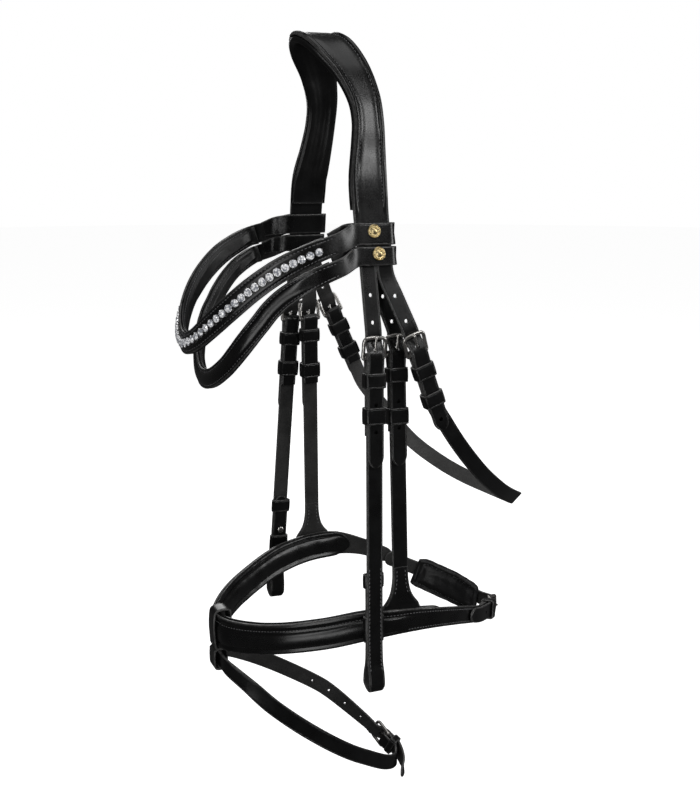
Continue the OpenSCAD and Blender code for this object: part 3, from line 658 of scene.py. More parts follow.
# ---- camera and studio ----
def studio():
    look, distance = Vector((0, 0.025, -0.274)), 0.9
    azimuth, elevation = math.radians(66.5), math.radians(12.5)
    back = Vector((math.sin(azimuth) * math.cos(elevation), -math.cos(azimuth) * math.cos(elevation),
                   math.sin(elevation)))
    cam = placed("camera", bpy.data.cameras.new("camera"))
    cam.data.lens, cam.data.sensor_width = 50, 36
    cam.location = look + back * distance
    cam.rotation_euler = (-back).to_track_quat("-Z", "Y").to_euler()
    cam.data.clip_start, cam.data.clip_end = 0.01, 50
    bpy.context.scene.camera = cam

    def light(name, where, size, power, at=(0, 0, -0.25)):
        lamp = bpy.data.lights.new(name, "AREA")
        lamp.shape, lamp.size, lamp.size_y, lamp.energy = "RECTANGLE", size[0], size[1], power
        obj = placed(name, lamp)
        obj.location = where
        obj.rotation_euler = (Vector(at) - Vector(where)).to_track_quat("-Z", "Y").to_euler()

    light("overhead", (0.3, 0.1, 1.5), (1.4, 1.4), 7)
    light("front_left", (1.5, -1.5, 0.35), (0.6, 1.3), 8)
    light("rear_right", (1.0, 1.8, 0.3), (0.4, 1.4), 9)
    light("far_side", (-1.6, 0.3, 0.5), (0.6, 1.4), 8)
    light("crown_side", (1.05, 0.5, 0.62), (0.35, 0.3), 2.5, (0.06, 0, -0.06))
    light("low_front", (1.3, -0.9, -0.75), (0.9, 0.5), 4, (0.05, 0, -0.45))

    world = bpy.data.worlds.new("studio")
    bpy.context.scene.world = world
    world.use_nodes = True
    tree = world.node_tree
    ground = tree.nodes["Background"]
    put(ground, {"Color": (1, 1, 1, 1)})
    path = tree.nodes.new("ShaderNodeLightPath")
    power = tree.nodes.new("ShaderNodeMapRange")
    put(power, {"To Min": 0.05, "To Max": 1.0})
    link(tree, path.outputs["Is Camera Ray"], power.inputs["Value"])
    link(tree, power.outputs["Result"], ground.inputs["Strength"])

    floor = bpy.data.meshes.new("floor")
    count, radius, height = 64, 9.0, cad_box[0][2] - 0.06
    turns = [2 * math.pi * i / count for i in range(count)]
    floor.from_pydata([(radius * math.cos(q), radius * math.sin(q), height) for q in turns], [],
                      [tuple(range(count))])
    mat, tree, shader = nodes_of("floor_paper")
    mottle = texture(tree, "ShaderNodeTexNoise", 3, 2)
    link(tree, mix_colour(tree, mottle.outputs["Fac"], (0.93, 0.93, 0.93), (0.95, 0.95, 0.95)),
         shader.inputs["Base Color"])
    put(shader, {"Roughness": 0.9, "Emission Color": (1, 1, 1, 1), "Emission Strength": 0.93})
    floor.materials.append(mat)
    obj = placed("floor", floor)
    obj.visible_glossy = obj.visible_diffuse = False
    bpy.context.scene.view_settings.view_transform = "Standard"


studio()


# ---- buckles, keepers and billets, in a local buckle frame ----
def buckle(kind, end, place, body):
    """A square stainless buckle frame, gently arched, with rounded corners, and its prong."""
    shape = Shape()
    y, c, top = BUCKLE_W / 2 - WIRE_R, 3.0, BUCKLE_L
    slope = TOP_N / BUCKLE_L
    side = [(0, -y, 0.4), (slope * 6, -y, 6), (TOP_N - slope * c, -y, top - c),
            (TOP_N + 0.1, -y + 0.9, top - 0.7), (TOP_N + 0.25, -y + c, top + 0.15)]
    bar = [(0, -y + 3, -0.2), (0, -y + 0.7, -0.9), (0, -y, 0.4)]
    path = (side + [(TOP_N + 0.6, 0, top + 0.55)] + [(a, -b, h) for a, b, h in reversed(side)]
            + [(0, y - 0.7, -0.9), (0, y - 3, -0.2), (0, 0, 0)] + bar)
    tube(shape, place.points(path), place.x, 1.35, 1.25, 16, closed=True, square=2.7)
    piece(f"{kind}_buckle{end}", shape, [STEEL], body, "buckle_steel", [f"{kind}_frame{end}"])

    shape = Shape()
    eye = [(1.95 * math.cos(q), 0, 1.95 * math.sin(q)) for q in np.linspace(0, 2 * math.pi, 11)]
    tube(shape, place.points(eye), place.y, 0.5, 1.5, 10, closed=True, square=3)
    tip = TOP_N + WIRE_R + 0.95
    path = [(1.9, 0, 0.6), (2.6, 0, 3.0), (3.6, 0, 6.5), (tip - 0.45, 0, 11), (tip + 0.15, 0, 13.6),
            (tip - 0.2, 0, 15.9)]
    tube(shape, place.points(path), place.y, 0.8, 1.0, 12, square=2.4,
         taper=[(0, 1), (0.6, 1.0), (0.85, 0.85), (0.96, 0.62), (1, 0.25)])
    node = f"{kind}_prong{end}"
    piece(f"{kind}_tongue{end}", shape, [STEEL], node, "buckle_steel", [node])


def ring_route(place, n0, n1, side, z, h):
    """A closed route round a strap stack, through the middle of the keeper leather."""
    pts, r = [], 1.7
    for x, y, start in ((n1, -side, 0), (n0, -side, -90), (n0, side, -180), (n1, side, -270)):
        cx = (x - r if x > 0 else x + r) if n1 - n0 > 2 * r else (n0 + n1) / 2
        cy = y - math.copysign(r, y)
        for f in (0, 0.33, 0.67, 1):
            q = math.radians(start - f * 90)
            pts.append((cx + r * math.cos(q), cy + r * math.sin(q)))
    pts.append(pts[0])
    hint = place.z * place.side
    return [tuple(place.at(x, y, z)) + (h,) + tuple(hint) for x, y in pts]


def keeper(shape, place, z, h, n0, n1):
    """A leather ring of height h round what lies between n0 and n1."""
    wall = 1.3
    route = ring_route(place, n0 - wall / 2, n1 + wall / 2, STRAP_W / 2 + 0.4 + wall / 2, z, h)
    band = Band(route, 0.7, wall, closed=True, edge=0.5, crease=0.2,
                outer=lambda a, w, s, L: 0.22 * (1 - (2 * a / w) ** 2))
    band.mesh(shape)


def stack(shape, place, z, h):
    """A keeper round a doubled strap and the billet on it."""
    keeper(shape, place, z, h, -STRAP_T - 3 * GAP, OVER + STRAP_T / 2 + GAP)


def loop_piece(node, place, z, h, body):
    """A keeper or runner that is a piece by itself."""
    shape = Shape()
    stack(shape, place, z, h)
    strap_piece(node, shape, body)


def round_bar():
    """The leather's way over a buckle bar, as points of a strap seen edge-on."""
    return [(-WRAP_R * math.cos(q), WRAP_R * math.sin(q)) for q in np.linspace(0, math.pi, 7)]


def chape_line(tail):
    """Doubled strap end: up the inside, round the bar, down the outside."""
    return ([(-LAYER, -tail), (-LAYER, -tail / 2 - 6), (-LAYER, -13), (-WRAP_R + 0.2, -4)] + round_bar()
            + [(WRAP_R - 0.2, -4), (LAYER, -13)])


def billet(kind, s, side, name):
    """A billet with punched holes, from between the crown layers to its pointed end."""
    place, pivot = hang(kind, s), np.array(PIVOTS[kind], float) * (side, 1, 1)
    foot = place.at(0.1, 0, 18)
    up = unit(pivot - foot)
    hint = tuple(-side * place.y)
    height, inward = {"cheek": (10, 1.7), "hanger": (12, 0.2), "throat": (13, 1.8)}[kind]
    start = pivot + np.array([-side * inward, up[1] * height * 0.4, height])
    route = [tuple(start) + (12.6,) + hint]
    route += [tuple(pivot + (foot - pivot) * f) + (STRAP_W,) + hint for f in (0, 0.35, 0.7, 1)]
    tip = TIPS[kind]
    route += place.rows([(0.1, 12.5), (1.9, 7.6), (CREST - 0.35, 3.2), (CREST, 0.5), (CREST - 0.1, -3),
                         (OVER + 0.25, -10), (OVER, -18), (OVER, -40), (OVER, tip)])
    band = Band(route, 1.7, edge=0.7, tip1=9, crease=0.2)
    shape, cut = band.mesh(), Shape()
    axis, across = place.x, place.y
    for i in range(-3, 3):
        z = CROSS_Z + i * HOLE_PITCH
        if z < tip + 9:
            continue
        if i <= 0:
            hole(cut, place.at(OVER if i else 3.0, 0, z), axis, across, HOLE_R if i else BILLET_HOLE_R)
        else:
            hole(cut, foot + up * (z - 18), axis, across)
    body = BODIES[kind][s]
    top, low = pivot + np.array([0, 0, 5.0]), pivot + (foot - pivot) * (0.30 if kind == "cheek" else 0.22)
    strap_piece(f"{kind}_billet_{name}", shape, body, holes=cut,
                blend=("headpiece", body, tuple(top * MM), tuple(low * MM)))


# ---- headpiece ----
def crown():
    """The crown's leather with its rolled edges, and its pad."""
    route = mirrored(rows(CROWN, (0, 1, 0)))
    inset = 4.4

    def outer(a, w, s, L):
        d = w / 2 - np.abs(a)
        fade = step_up(np.minimum(s, L - s), 34, 52)
        roll = 1.3 * np.sin(np.pi * np.clip(d / inset, 0, 1)) ** 0.8 * fade
        return roll + 0.35 * step_up(d, inset + 0.4, inset + 4) - 0.3 * dip(d, inset, 0.35) * fade

    band = Band(route, 2.2, CROWN_T, outer=outer, edge=0.8,
                across=[0, 0.1, 0.3, 0.65, 1.0, 1.3, 1.6, 2.2, 2.9, 3.5, 3.95, 4.2, 4.4, 4.6, 4.85, 5.3, 6.2])
    shape, sewn = band.mesh(), Shape()
    band.stitches(sewn, inset, 46, -46, pitch=2.9)
    piece("crown_top", shape, [SHINY, SOFT], "headpiece", "strap_leather", ["crown_leather"])
    piece("crown_stitching", sewn, [THREAD], "headpiece")

    pad_route = [(p[0], p[1], p[2], p[3] + 1.2) for p in CROWN_PAD]
    pad_route = mirrored(rows(pad_route, (0, 1, 0)))
    thick = 5.6

    def inner(a, w, s, L):
        u = np.abs(a) / (w / 2)
        ends = step_up(np.minimum(s, L - s), 2, 30)
        rolls = -1.9 * dip(u, 0, 0.36) - 0.5 * dip(u, 0.38, 0.06)
        return rolls * ends - 3.6 * (1 - ends) - 0.5 * dip(u, 0.9, 0.05) * ends

    pad = Band(pad_route, 2.2, thick, -CROWN_T / 2 - GAP - thick / 2, inner=inner, edge=2.6, crease=0,
               wave=0.22, across=[0, 0.15, 0.45, 0.9, 1.4, 2.0, 2.6, 3.2, 4.0], end_r=3)
    shape = pad.mesh(inner_mat=0, wear=0)
    obj = piece("crown_pad", shape, [SOFT], "headpiece", "padding_leather", ["crown_padding", "crown_lining"])


def tongue_x(z):
    """How far out the middle of the crown's leather is, where the browbands go round it."""
    return CROWN[2][0] + TONGUE_SLOPE * (CROWN[2][2] - z)


def loop_rows(z, h, thick, y_front, join_x):
    """The end of a browband turned round the crown: from its inner end, round the back, to its front."""
    hint = (-math.sin(TONGUE_LEAN), 0, math.cos(TONGUE_LEAN))
    x = tongue_x(z)
    n_in, n_out = -CROWN_T / 2 - 1.6 - thick / 2, CROWN_T / 2 + LOOP_GAP + thick / 2
    inner = [(join_x - 2.9, y_front - 7), (join_x - 4.6, y_front + 1), (x + n_in + 2.4, -7.5),
             (x + n_in + 0.3, -1), (x + n_in, 8), (x + n_in, 20), (x + n_in + 0.2, 27)]
    back = [(x + (n_in + n_out) / 2 - 0.9, 30.2), (x + (n_in + n_out) / 2 + 0.9, 30.3)]
    outer = [(x + n_out - 0.2, 27.2), (x + n_out, 20), (x + n_out, 9), (x + n_out + 0.6, -1)]
    # The sewn end drops and narrows to follow the band.
    drop = {0: 4.2, 1: 1.9, 2: 0.5}
    taper = {0: 0.76, 1: 0.9, 2: 0.97}
    return [(p[0], p[1], z - drop.get(i, 0), h * taper.get(i, 1)) + hint
            for i, p in enumerate(inner + back + outer)]


def browband(name, route, z, loop_h, roll, badge_at):
    """A shaped browband with turned loops; roll is the height of its raised centre."""
    body = f"{name}_browband"
    thick = 1.8
    loop = loop_rows(z, loop_h, thick, route[0][1], route[0][0])
    full = mirrored(loop + rows(route))
    loop_len = lengths(smooth(loop + rows(route[:1])))[-1]
    inset = 2.4

    def outer(a, w, sr, L):
        d = w / 2 - np.abs(a)
        along = np.minimum(sr, L - sr) - loop_len
        mid = step_up(along, 22, 50)
        h = -0.22 * dip(d, inset, 0.3) * step_up(along, 4, 10)
        if roll:
            h = h + roll * mid * dome(2 * a / (w * 0.62)) ** 0.9
            h = h + 0.35 * mid * dip(d, 1.0, 0.6)
        else:
            h = h + 0.5 * step_up(along, 6, 30) * step_up(d, 2.6, 4.5)
        return h

    band = Band(full, 2.0, thick, outer=outer, edge=0.7, crease=0.0 if roll else 0.12,
                across=[0, 0.1, 0.3, 0.6, 1.0, 1.4, 1.8, 2.15, 2.4, 2.65, 2.95, 3.4, 4.0, 4.8, 5.6, 6.4])
    shape, sewn = band.mesh(), Shape()
    band.stitches(sewn, inset, loop_len + 6, -loop_len - 6, **FINE)
    piece(f"{name}_band", shape, [SHINY, SOFT], body, "strap_leather", [f"{body}_strap"])

    first = tuple(np.array(route[0]) * 0.45 + np.array(route[1]) * 0.55)
    pad_route = mirrored(rows([first, *route[1:]]))
    t = 5.0

    def inner(a, w, sr, L):
        d = w / 2 - np.abs(a)
        ends = step_up(np.minimum(sr, L - sr), 0, 18)
        return -2.5 * (1 - step_up(d, 2.6, 4.6)) * ends - 2.9 * (1 - ends)

    pad = Band(pad_route, 2.2, t, -STRAP_T / 2 - t / 2, inner=inner, edge=1.7, crease=0, wave=0.18,
               across=[0, 0.15, 0.5, 1.0, 1.6, 2.2, 2.7, 3.2, 3.7, 4.2, 4.7, 5.4], end_r=3)
    shape = pad.mesh(inner_mat=0, wear=0.15)
    pad.stitches(sewn, 2.3, 12, -12, side=-1, **FINE)
    obj = piece(f"{name}_pad", shape, [SOFT], body, "padding_leather", [f"{body}_padding"])
    piece(f"{name}_stitching", sewn, [THREAD], body)
    badges(name, badge_at, body, thick)


def badges(name, at, body, thick):
    """Plain fluted studs in gold-coloured metal."""
    shape = Shape()
    bz, by = at
    for side in (1, -1):
        axis = np.array([side * math.cos(TONGUE_LEAN), 0, math.sin(TONGUE_LEAN)])
        centre = np.array([side * tongue_x(bz), by, bz]) + axis * (CROWN_T / 2 + LOOP_GAP + thick + 0.05)
        flute = lambda q, r: 0.16 * np.cos(16 * q) * step_up(r, 2.6, 3.6) * (1 - step_up(r, 4.3, 4.7))
        lathe(shape, centre, axis, (0, 1, 0),
              [(0, -0.6), (4.6, -0.6), (4.95, -0.2), (5.0, 0.5), (4.8, 0.95), (4.5, 1.1), (4.25, 0.95),
               (4.1, 0.75), (3.6, 0.95), (3.1, 1.0), (2.7, 0.85), (2.5, 1.0), (2.2, 1.4), (1.6, 1.8),
               (0.8, 2.0), (0.1, 2.05)], 64, flute=flute)
    piece(f"{name}_studs", shape, [GOLD], body, "badge", [f"{name}_badges"])


def stones():
    """Round cut crystals in claw settings, in a row along the upper browband."""
    line = smooth(mirrored(rows(UPPER_JOIN + UPPER)), 8)
    s = lengths(line)
    pitch, first, r = CRYSTAL_PITCH, 32.0, CRYSTAL_R
    count = int((s[-1] - 2 * first) // pitch)
    start = (s[-1] - count * pitch) / 2
    cups, gems = Shape(), Shape()
    tan = tangents(line)
    for i in range(count + 1):
        d = start + i * pitch
        p = sample(d, s, line[:, :3])
        t = unit(sample(d, s, tan))
        w = square_to(np.array(UP), t)
        n = np.cross(w, t)
        base = p + n * 1.25
        lathe(cups, base, n, t, [(0.1, 0), (r + 0.1, 0), (r + 0.38, 0.4), (r + 0.42, 1.2), (r + 0.34, 1.75),
                                 (r + 0.12, 1.8), (r + 0.06, 1.2), (0.1, 0.9)], 24)
        turn = rng.uniform(0, 1)
        for c in range(CLAWS):
            q = 2 * math.pi * c / CLAWS + 0.5
            out = t * math.cos(q) + w * math.sin(q)
            path = [base + out * (r + 0.32) + n * 0.9, base + out * (r + 0.3) + n * 1.8,
                    base + out * (r - 0.02) + n * 2.25, base + out * (r - 0.5) + n * 2.35]
            tube(cups, path, np.cross(n, out), 0.3, 0.34, 6, taper=[(0, 1), (0.7, 1), (1, 0.55)])
        gem(gems, base + n * 1.0, n, t, w, r, turn)
    piece("crystal_claws", cups, [SILVER], "upper_browband", "setting", ["crystal_settings"], angle=30)
    piece("crystal_stones", gems, [CRYSTAL], "upper_browband", "crystal", ["crystals"], angle=4)


def gem(shape, base, n, t, w, r, turn):
    """A brilliant cut: table, star, kite and upper girdle facets over a low pavilion."""
    rings = [(0.15, -0.6, 8, 0.5), (r * 0.98, 0.75, 16, 0), (r, 0.95, 16, 0), (r * 0.80, 1.45, 8, 0.0),
             (r * 0.56, 1.85, 8, 0.5)]
    pts, first = [], []
    for rad, h, count, shift in rings:
        first.append(len(pts))
        for j in range(count):
            q = 2 * math.pi * (j + shift) / count + turn
            pts.append(base + (t * math.cos(q) + w * math.sin(q)) * rad + n * h)
    low, g0, g1, kite, table = first
    faces = [tuple(table + j for j in range(8)), tuple(low + j for j in range(7, -1, -1))]
    for j in range(16):
        k = (j + 1) % 16
        faces.append((g0 + j, g0 + k, g1 + k, g1 + j))
        if j % 2:
            faces.append((low + j // 2, low + (j // 2 + 1) % 8, g0 + k))
        faces.append((low + j // 2, g0 + k, g0 + j))
    for j in range(8):
        k = (j + 1) % 8
        a, b, c = g1 + 2 * j, g1 + 2 * j + 1, g1 + (2 * j + 2) % 16
        faces += [(a, b, kite + j), (b, c, kite + k), (b, kite + k, table + j), (b, table + j, kite + j),
                  (kite + j, table + j, table + (j - 1) % 8)]
    shape.add(pts, faces)


# ---- cheekpieces and hangers ----
def hung_strap(place, rest, **ends):
    """A strap hung from a buckle, the thread of its turned-back end, and how far along the bar is."""
    band = Band(place.rows(chape_line(CHAPE_TAIL) + [(LAYER, -40), (LAYER, -80)] + rest), 1.7, edge=0.7,
                crease=0.2, **ends)
    sewn = Shape()
    bar_s = CHAPE_TAIL + math.pi * WRAP_R / 2
    band.stitches(sewn, SEAM, bar_s + 10, bar_s + 60)
    return band, sewn, bar_s


def cheek(s, name):
    """A cheekpiece: its strap with the bit loop, keepers, runner and hook stud."""
    place, body = hang("cheek", s), f"cheek_{name}"
    loop_n, loop_z = BIT_R + STRAP_T / 2, -CHEEK_L + BIT_R + STRAP_T
    neck = loop_z + 24
    arc = [(loop_n * math.cos(q), loop_z + loop_n * math.sin(q), 13 - 2.6 * math.sin(-q))
           for q in np.linspace(0, -math.pi, 9)]
    leg = [(LAYER, neck + 14), (LAYER + 0.15, neck + 4), (LAYER + 0.9, neck - 7), (loop_n - 1.0, loop_z + 9),
           (loop_n - 0.15, loop_z + 3.5)]
    back = [(-n, z) for n, z in reversed(leg)]
    back += [(-LAYER, -CHEEK_L + RETURN_L - 12), (-LAYER, -CHEEK_L + RETURN_L)]
    band, sewn, bar_s = hung_strap(place, [(LAYER, -130)] + leg + arc + back, tip1=9)
    low = bar_s + CHEEK_L - 100
    band.stitches(sewn, SEAM, low + 6, low + 88)
    strap_piece(f"cheek_strap_{name}", band.mesh(), body)
    piece(f"cheek_stitching_{name}", sewn, [THREAD], body)

    shape = Shape()
    stack(shape, place, -17, 11)
    for z, h in ((-CHEEK_L + 88, 11), (-CHEEK_L + 50, 20)):
        keeper(shape, place, z, h, -STRAP_T - 2 * GAP, 0.4)
    strap_piece(f"cheek_keepers_{name}", shape, body)
    loop_piece(f"cheek_runner_{name}", place, -43, 12.5, f"cheek_runner_{name}")
    shape = Shape()
    lathe(shape, place.at(-2 * LAYER - 0.1, 0, -CHEEK_L + 66), -place.x, place.y,
          [(1.4, -0.4), (1.35, 1.2), (1.5, 1.7), (2.7, 2.0), (2.8, 2.4), (2.4, 2.75), (1.4, 3.0),
           (0.1, 3.05)], 28)
    piece(f"hook_stud_{name}_steel", shape, [STEEL], body, "buckle_steel", [f"hook_stud_{name}"])


# The flared foot of a hanger: how far below the level called bottom, and the width there.
FLARE = [(-28, 13), (-20, 13.6), (-12, 16.2), (-6.5, 20.5), (-2.5, 26), (0, 30), (5, 34)]


def hanger(s, side, name):
    """A noseband hanger with its flared foot."""
    place, body = hang("hanger", s), "noseband"
    bottom = (-193.5, -201)[s]
    foot = [(LAYER - (0.25 if z > -1 else 0), bottom - z, w) for z, w in FLARE]
    band, sewn, _ = hung_strap(place, [(LAYER, -120), (LAYER, bottom + 42)] + foot)
    strap_piece(f"hanger_strap_{name}", band.mesh(), body)
    # Second layer at the flare, with its own stitched edge; on the right it is on the inside.
    outline = ((30, 12), (20, 12.6), (12, 14.8), (6.5, 18.6), (2.5, 23.6), (0.5, 26.6))
    patch = Band(place.rows([(LAYER + 1.4 * side, bottom + z, w) for z, w in outline]), 1.7, 0.7, edge=0.3,
                 crease=0)
    patch.stitches(sewn, 2.6, 2, -8, side=side, **FINE)
    piece(f"hanger_flare_{name}", patch.mesh(), [STRAP, FLESH], body, "strap_leather")
    piece(f"hanger_stitching_{name}", sewn, [THREAD], body)
    loop_piece(f"hanger_keeper_{name}", place, -15, 11, body)
    loop_piece(f"hanger_runner_{name}", place, -46, 12.5, f"hanger_runner_{name}")


# ---- noseband ----
NOSE_PLACE = end_place(NOSE)
FLASH_PLACE = end_place(FLASH)


def wrapped_end(place, inside):
    """Rows of a strap end that comes from inside, round the buckle bar and back along the strap."""
    line = [(-2.3, -BAR_Z - inside), (-2.3, -BAR_Z - inside / 2), (-2.45, -4.5)]
    return place.rows(line + round_bar() + [(2.2, -3.2), (1.1, -7.5)])


def buckled(place, tail):
    """Rows of a billet that goes under the top bar, over the bar and on to its tail."""
    line = [(-0.4, 24), (-0.5, 14), (1.6, 8), (CREST - 0.1, 3.4), (CREST + 0.2, 0.5), (CREST + 0.1, -3),
            (OVER + 0.6, -12)]
    return place.rows(line) + rows(tail)


def noseband():
    """The front strap with its raised middle and its pad, then what is sewn to it."""
    half, pad_half, t = 13.6, 14.3, 5.5          # half the greatest widths, and the pad's thickness
    wrap = wrapped_end(NOSE_PLACE, 26)
    route = wrap + rows([(30.5, 139, -462.4, 13.2), *NOSE[1:]])
    line = smooth(route)
    total, lead = lengths(line)[-1], lengths(smooth(wrap))[-1]
    # How far along the flash loop holds the band flat.
    loop_s = lengths(line)[np.argmin(np.linalg.norm(line[:, :3] - np.array([0, -91, -451]), axis=1))]

    def envelope(s, L):
        held = 1 - 0.55 * (1 - step_up(np.abs(s - loop_s), 7, 15))
        return step_up(s - lead, 122, 150) * step_up(L - s, 60, 92) * held

    def outer(a, w, s, L):
        u = a / (w / 2)
        mid = envelope(s, L)
        roll = 2.3 * mid * dome((u + 0.10) / 0.50) ** 0.8
        ridge = 0.9 * mid * dip(u, 0.83, 0.10) + 0.6 * mid * dip(u, -0.85, 0.09)
        groove = -0.3 * dip(u, 0.55, 0.035) * mid - 0.25 * dip(u, -0.70, 0.035) * mid
        return roll + ridge + groove

    shares = [1, 0.99, 0.97, 0.94, 0.9, 0.865, 0.83, 0.79, 0.74, 0.69, 0.64, 0.60, 0.575, 0.55, 0.525, 0.49,
              0.43, 0.39, 0.34, 0.28, 0.2, 0.1]
    band = Band(route, 2.0, outer=outer, edge=0.7, crease=0.14, tip1=10,
                across=[(1 - x) * half for x in shares])
    shape, sewn = band.mesh(), Shape()
    strap_piece("noseband_strap", shape, "noseband", [SHINY, FLESH], "noseband_leather")
    first, last, high, low = lead + 46, total - 60, 0.66, -0.72

    def sew(s, u, tilt=0.0):
        p, w, n, t, width, j = band.locate(s)
        a = u * width / 2
        h = band.height(1, np.array([[a]]), np.array([j]))[0, 0]
        stitch(sewn, p + w * a + n * (h + 0.05), unit(t * math.cos(tilt) + w * math.sin(tilt)), n, 2.0)

    count = int((last - first) / 2.6)
    for c in range(count + 1):
        s = first + c * (last - first) / count
        mid = envelope(s, total)
        sew(s, high - 0.11 * mid)
        if mid < 0.4:
            sew(s, low)
    # The two rows meet in a curve near the buckle.
    for q in np.linspace(0, math.pi, 9)[1:-1]:
        across = (high + low) / 2 + (high - low) / 2 * math.cos(q)
        sew(first - 7 * math.sin(q), across, math.pi / 2 + 0.6 * math.cos(q))
    piece("noseband_stitching", sewn, [THREAD], "noseband")

    pad_ends = (80.5, 73, -437.6, 16), (-88.4, 61.5, -431.3, 18.7)
    pad_points = [(p[0], p[1], p[2], p[3] + 1.6) for p in (pad_ends[0], *NOSE[4:17], pad_ends[1])]

    def inner(a, w, s, L):
        u = a / (w / 2)
        ends = step_up(np.minimum(s, L - s), 0, 34)
        roll = -2.9 + 3.0 * dome((u - 0.06) / 0.56) ** 0.75
        ridges = 1.5 * dip(u, -0.80, 0.14) + 1.1 * dip(u, 0.84, 0.12)
        return (roll + ridges) * ends - 2.6 * (1 - ends)

    pad = Band(rows(pad_points), 2.2, t, -STRAP_T / 2 - GAP - t / 2, inner=inner, edge=1.6, crease=0,
               wave=0.25, across=[(1 - x) * pad_half for x in shares], end_r=3, tip0=16, tip1=16)
    shape = pad.mesh(inner_mat=0, wear=0.1)
    obj = piece("noseband_pad", shape, [SHINY], "noseband", "padding_leather", ["noseband_padding"])
    chin()
    flash_loop()


def chin():
    """The chin strap's billet, its cushion with a sewn rim and folds, and its keeper."""
    far = rows([(-80, 96, -446, 14), (-76, 113, -454, 13.5), (-62, 138, -464.5, 13), (-42, 154, -471, 13),
                (-18, 162, -474, 13)])
    route = far + buckled(NOSE_PLACE, [(55.5, 120, -454, 13), (67, 104, -448, 12)])
    band = Band(route, 1.8, edge=0.7, tip0=6, tip1=8, crease=0.2)
    shape, cut, sewn = band.mesh(), Shape(), Shape()
    hole(cut, NOSE_PLACE.at(3, 0, CROSS_Z), NOSE_PLACE.x, NOSE_PLACE.y, BILLET_HOLE_R)
    for d in (34, 54):
        p, w, n = band.locate(band.length - d)[:3]
        hole(cut, p, n, w)
    band.stitches(sewn, 2.0, 4, 30)
    strap_piece("chin_billet", shape, "noseband", holes=cut)

    pad_points = [(p[0], p[1], p[2] - 1.5, w) for *p, w in
                  [(-71, 122, -457.8, 28), (-62, 138, -464.5, 30), (-42, 154, -471, 31),
                   (-18, 162, -474, 28)]]

    def inner(a, w, s, L):
        d = np.minimum(w / 2 - np.abs(a), np.minimum(s, L - s) * 0.9)
        rim = 1.9 * np.sin(np.pi * np.clip(d / 4.2, 0, 1)) ** 0.8
        panel = 3.4 * step_up(d, 4.3, 9.5)
        folds = 0.45 * np.sin(s * 1.35 + 1.2 * np.sin(a * 0.35)) * dip(d, 4.6, 3.2)
        return rim + panel + folds - 2.6

    def outer(a, w, s, L):
        d = np.minimum(w / 2 - np.abs(a), np.minimum(s, L - s))
        return 0.8 * step_up(d, 0, 5) - 0.5

    pad = Band(rows(pad_points), 1.6, 6.0, -4.9, inner=inner, outer=outer, edge=2.4, crease=0, wave=0.8,
               across=[0, 0.2, 0.6, 1.2, 2.0, 2.8, 3.5, 4.0, 4.3, 4.7, 5.3, 6.2, 7.4, 8.6, 9.8, 11.5],
               end_r=3, narrow=lambda s, L: 0.82 + 0.18 * np.sqrt(np.clip(np.minimum(s, L - s) / 6, 0, 1)))
    shape = pad.mesh(inner_mat=0, wear=0.2)
    pad.stitches(sewn, 4.3, 5, -5, side=-1, **FINE)
    obj = piece("chin_cushion", shape, [CHIN], "noseband", "padding_leather", ["chin_pad"])
    piece("chin_stitching", sewn, [THREAD], "noseband")
    shape = Shape()
    keeper(shape, NOSE_PLACE, -8 - BAR_Z, 11, -2.8, OVER + 2.4)
    strap_piece("chin_keeper", shape, "noseband")


def flash_loop():
    """The tab round the front of the noseband, with the smaller loop that holds the flash."""
    shape = Shape()
    y0, z0, w = -90, -450, 13.4
    upper = [(-5.0, -14.2), (-5.5, -6), (-5.8, 0), (-5.4, 8), (-4.2, 14), (0, 15.75), (5, 15.7), (8, 13.6),
             (8.3, 6), (8.3, -6), (8, -13.8), (5, -16.6), (0, -16.75), (-3.6, -16.6)]
    lower = [(-5.6, -19), (-5.9, -25.4), (-5.5, -32), (-3.4, -34.2), (1.6, -34.2), (4, -32.3), (4.35, -25.4),
             (4.2, -19.2), (2, -17.4), (-2.8, -17.4)]
    for outline in (upper, lower):
        route = [(0, y0 + y, z0 + z, w) for y, z in [*outline, outline[0]]]
        Band(rows(route, (1, 0, 0)), 0.9, 1.7, closed=True, edge=0.6, crease=0.18).mesh(shape)
    strap_piece("flash_loop", shape, "noseband")


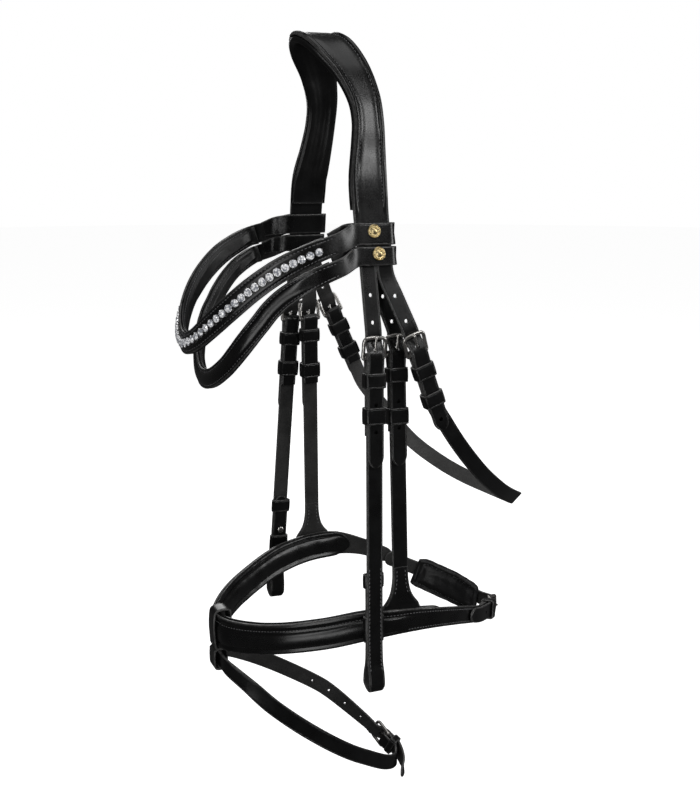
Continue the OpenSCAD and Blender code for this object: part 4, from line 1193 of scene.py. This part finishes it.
# ---- flash ----
def flash():
    """The thin strap that hangs from the noseband's front and closes on itself."""
    route = wrapped_end(FLASH_PLACE, 4) + rows(FLASH[1:])
    route += buckled(FLASH_PLACE, [(5, 74, -608, 13), (13, 69, -615, 12)])
    band = Band(route, 1.8, edge=0.7, crease=0.2, tip1=8)
    shape, cut = band.mesh(), Shape()
    hole(cut, FLASH_PLACE.at(3, 0, CROSS_Z), FLASH_PLACE.x, FLASH_PLACE.y, BILLET_HOLE_R)
    for d in (72, 92, 112, 132):
        p, w, n = band.locate(band.length - d)[:3]
        hole(cut, p, n, w, FLASH_HOLE_R)
    strap_piece("flash_strap", shape, "flash", name="flash_leather", holes=cut)
    shape = Shape()
    keeper(shape, place_along(FLASH, 5.5), 0, 6, -2.2, OVER + 2.5)
    strap_piece("flash_keepers", shape, "flash", name="flash_keeper_leather")


# ---- throatlash ----
def throatlash():
    """One strap from buckle to buckle under the jaw."""
    places = [hang("throat", s) for s in (0, 1)]
    tails = THROAT_TAILS
    left = places[0].rows(chape_line(tails[0]) + [(LAYER, -24), (LAYER, -36), (LAYER, -45)])
    right = places[1].rows(chape_line(tails[1]) + [(LAYER, -30), (LAYER, -50), (LAYER, -59)])
    right = [r[:4] + tuple(-np.array(r[4:7])) for r in reversed(right)]
    route = left + rows(THROAT, THROAT_HINT) + right
    band = Band(route, 1.9, edge=0.7, crease=0.2)
    shape, sewn = band.mesh(), Shape()
    wrap = math.pi * WRAP_R / 2
    near, far = tails[0] + wrap, band.length - tails[1] - wrap
    band.stitches(sewn, SEAM, near + 10, near + 38)
    band.stitches(sewn, SEAM, far - 52, far - 10)
    # The flesh side takes the lighter copy of the flesh-side leather, a painted sheen.
    strap_piece("throat_strap", shape, "throatlash", [STRAP, LIT_THROAT_FLESH], "throatlash_leather")
    piece("throatlash_stitching", sewn, [THREAD], "throatlash")
    for _, s, name in SIDES:
        loop_piece(f"throat_keeper_{name}", places[s], -15, 11, "throatlash")
        loop_piece(f"throat_runner_{name}", places[s], -38, 11, f"throat_runner_{name}")


# ---- the whole bridle ----
crown()
browband("upper", UPPER, -136, 16, 0, (-134.5, 13.5))
browband("lower", LOWER, -151.8, 13.6, 2.2, (-150.5, 16))
stones()
for side, s, name in SIDES:
    cheek(s, name)
    hanger(s, side, name)
    for kind in ("cheek", "hanger", "throat"):
        billet(kind, s, side, name)
        buckle(kind, f"_{name}", hang(kind, s), BODIES[kind][s])
noseband()
buckle("chin", "", NOSE_PLACE, "noseband")
flash()
buckle("flash", "", FLASH_PLACE, "flash")
throatlash()
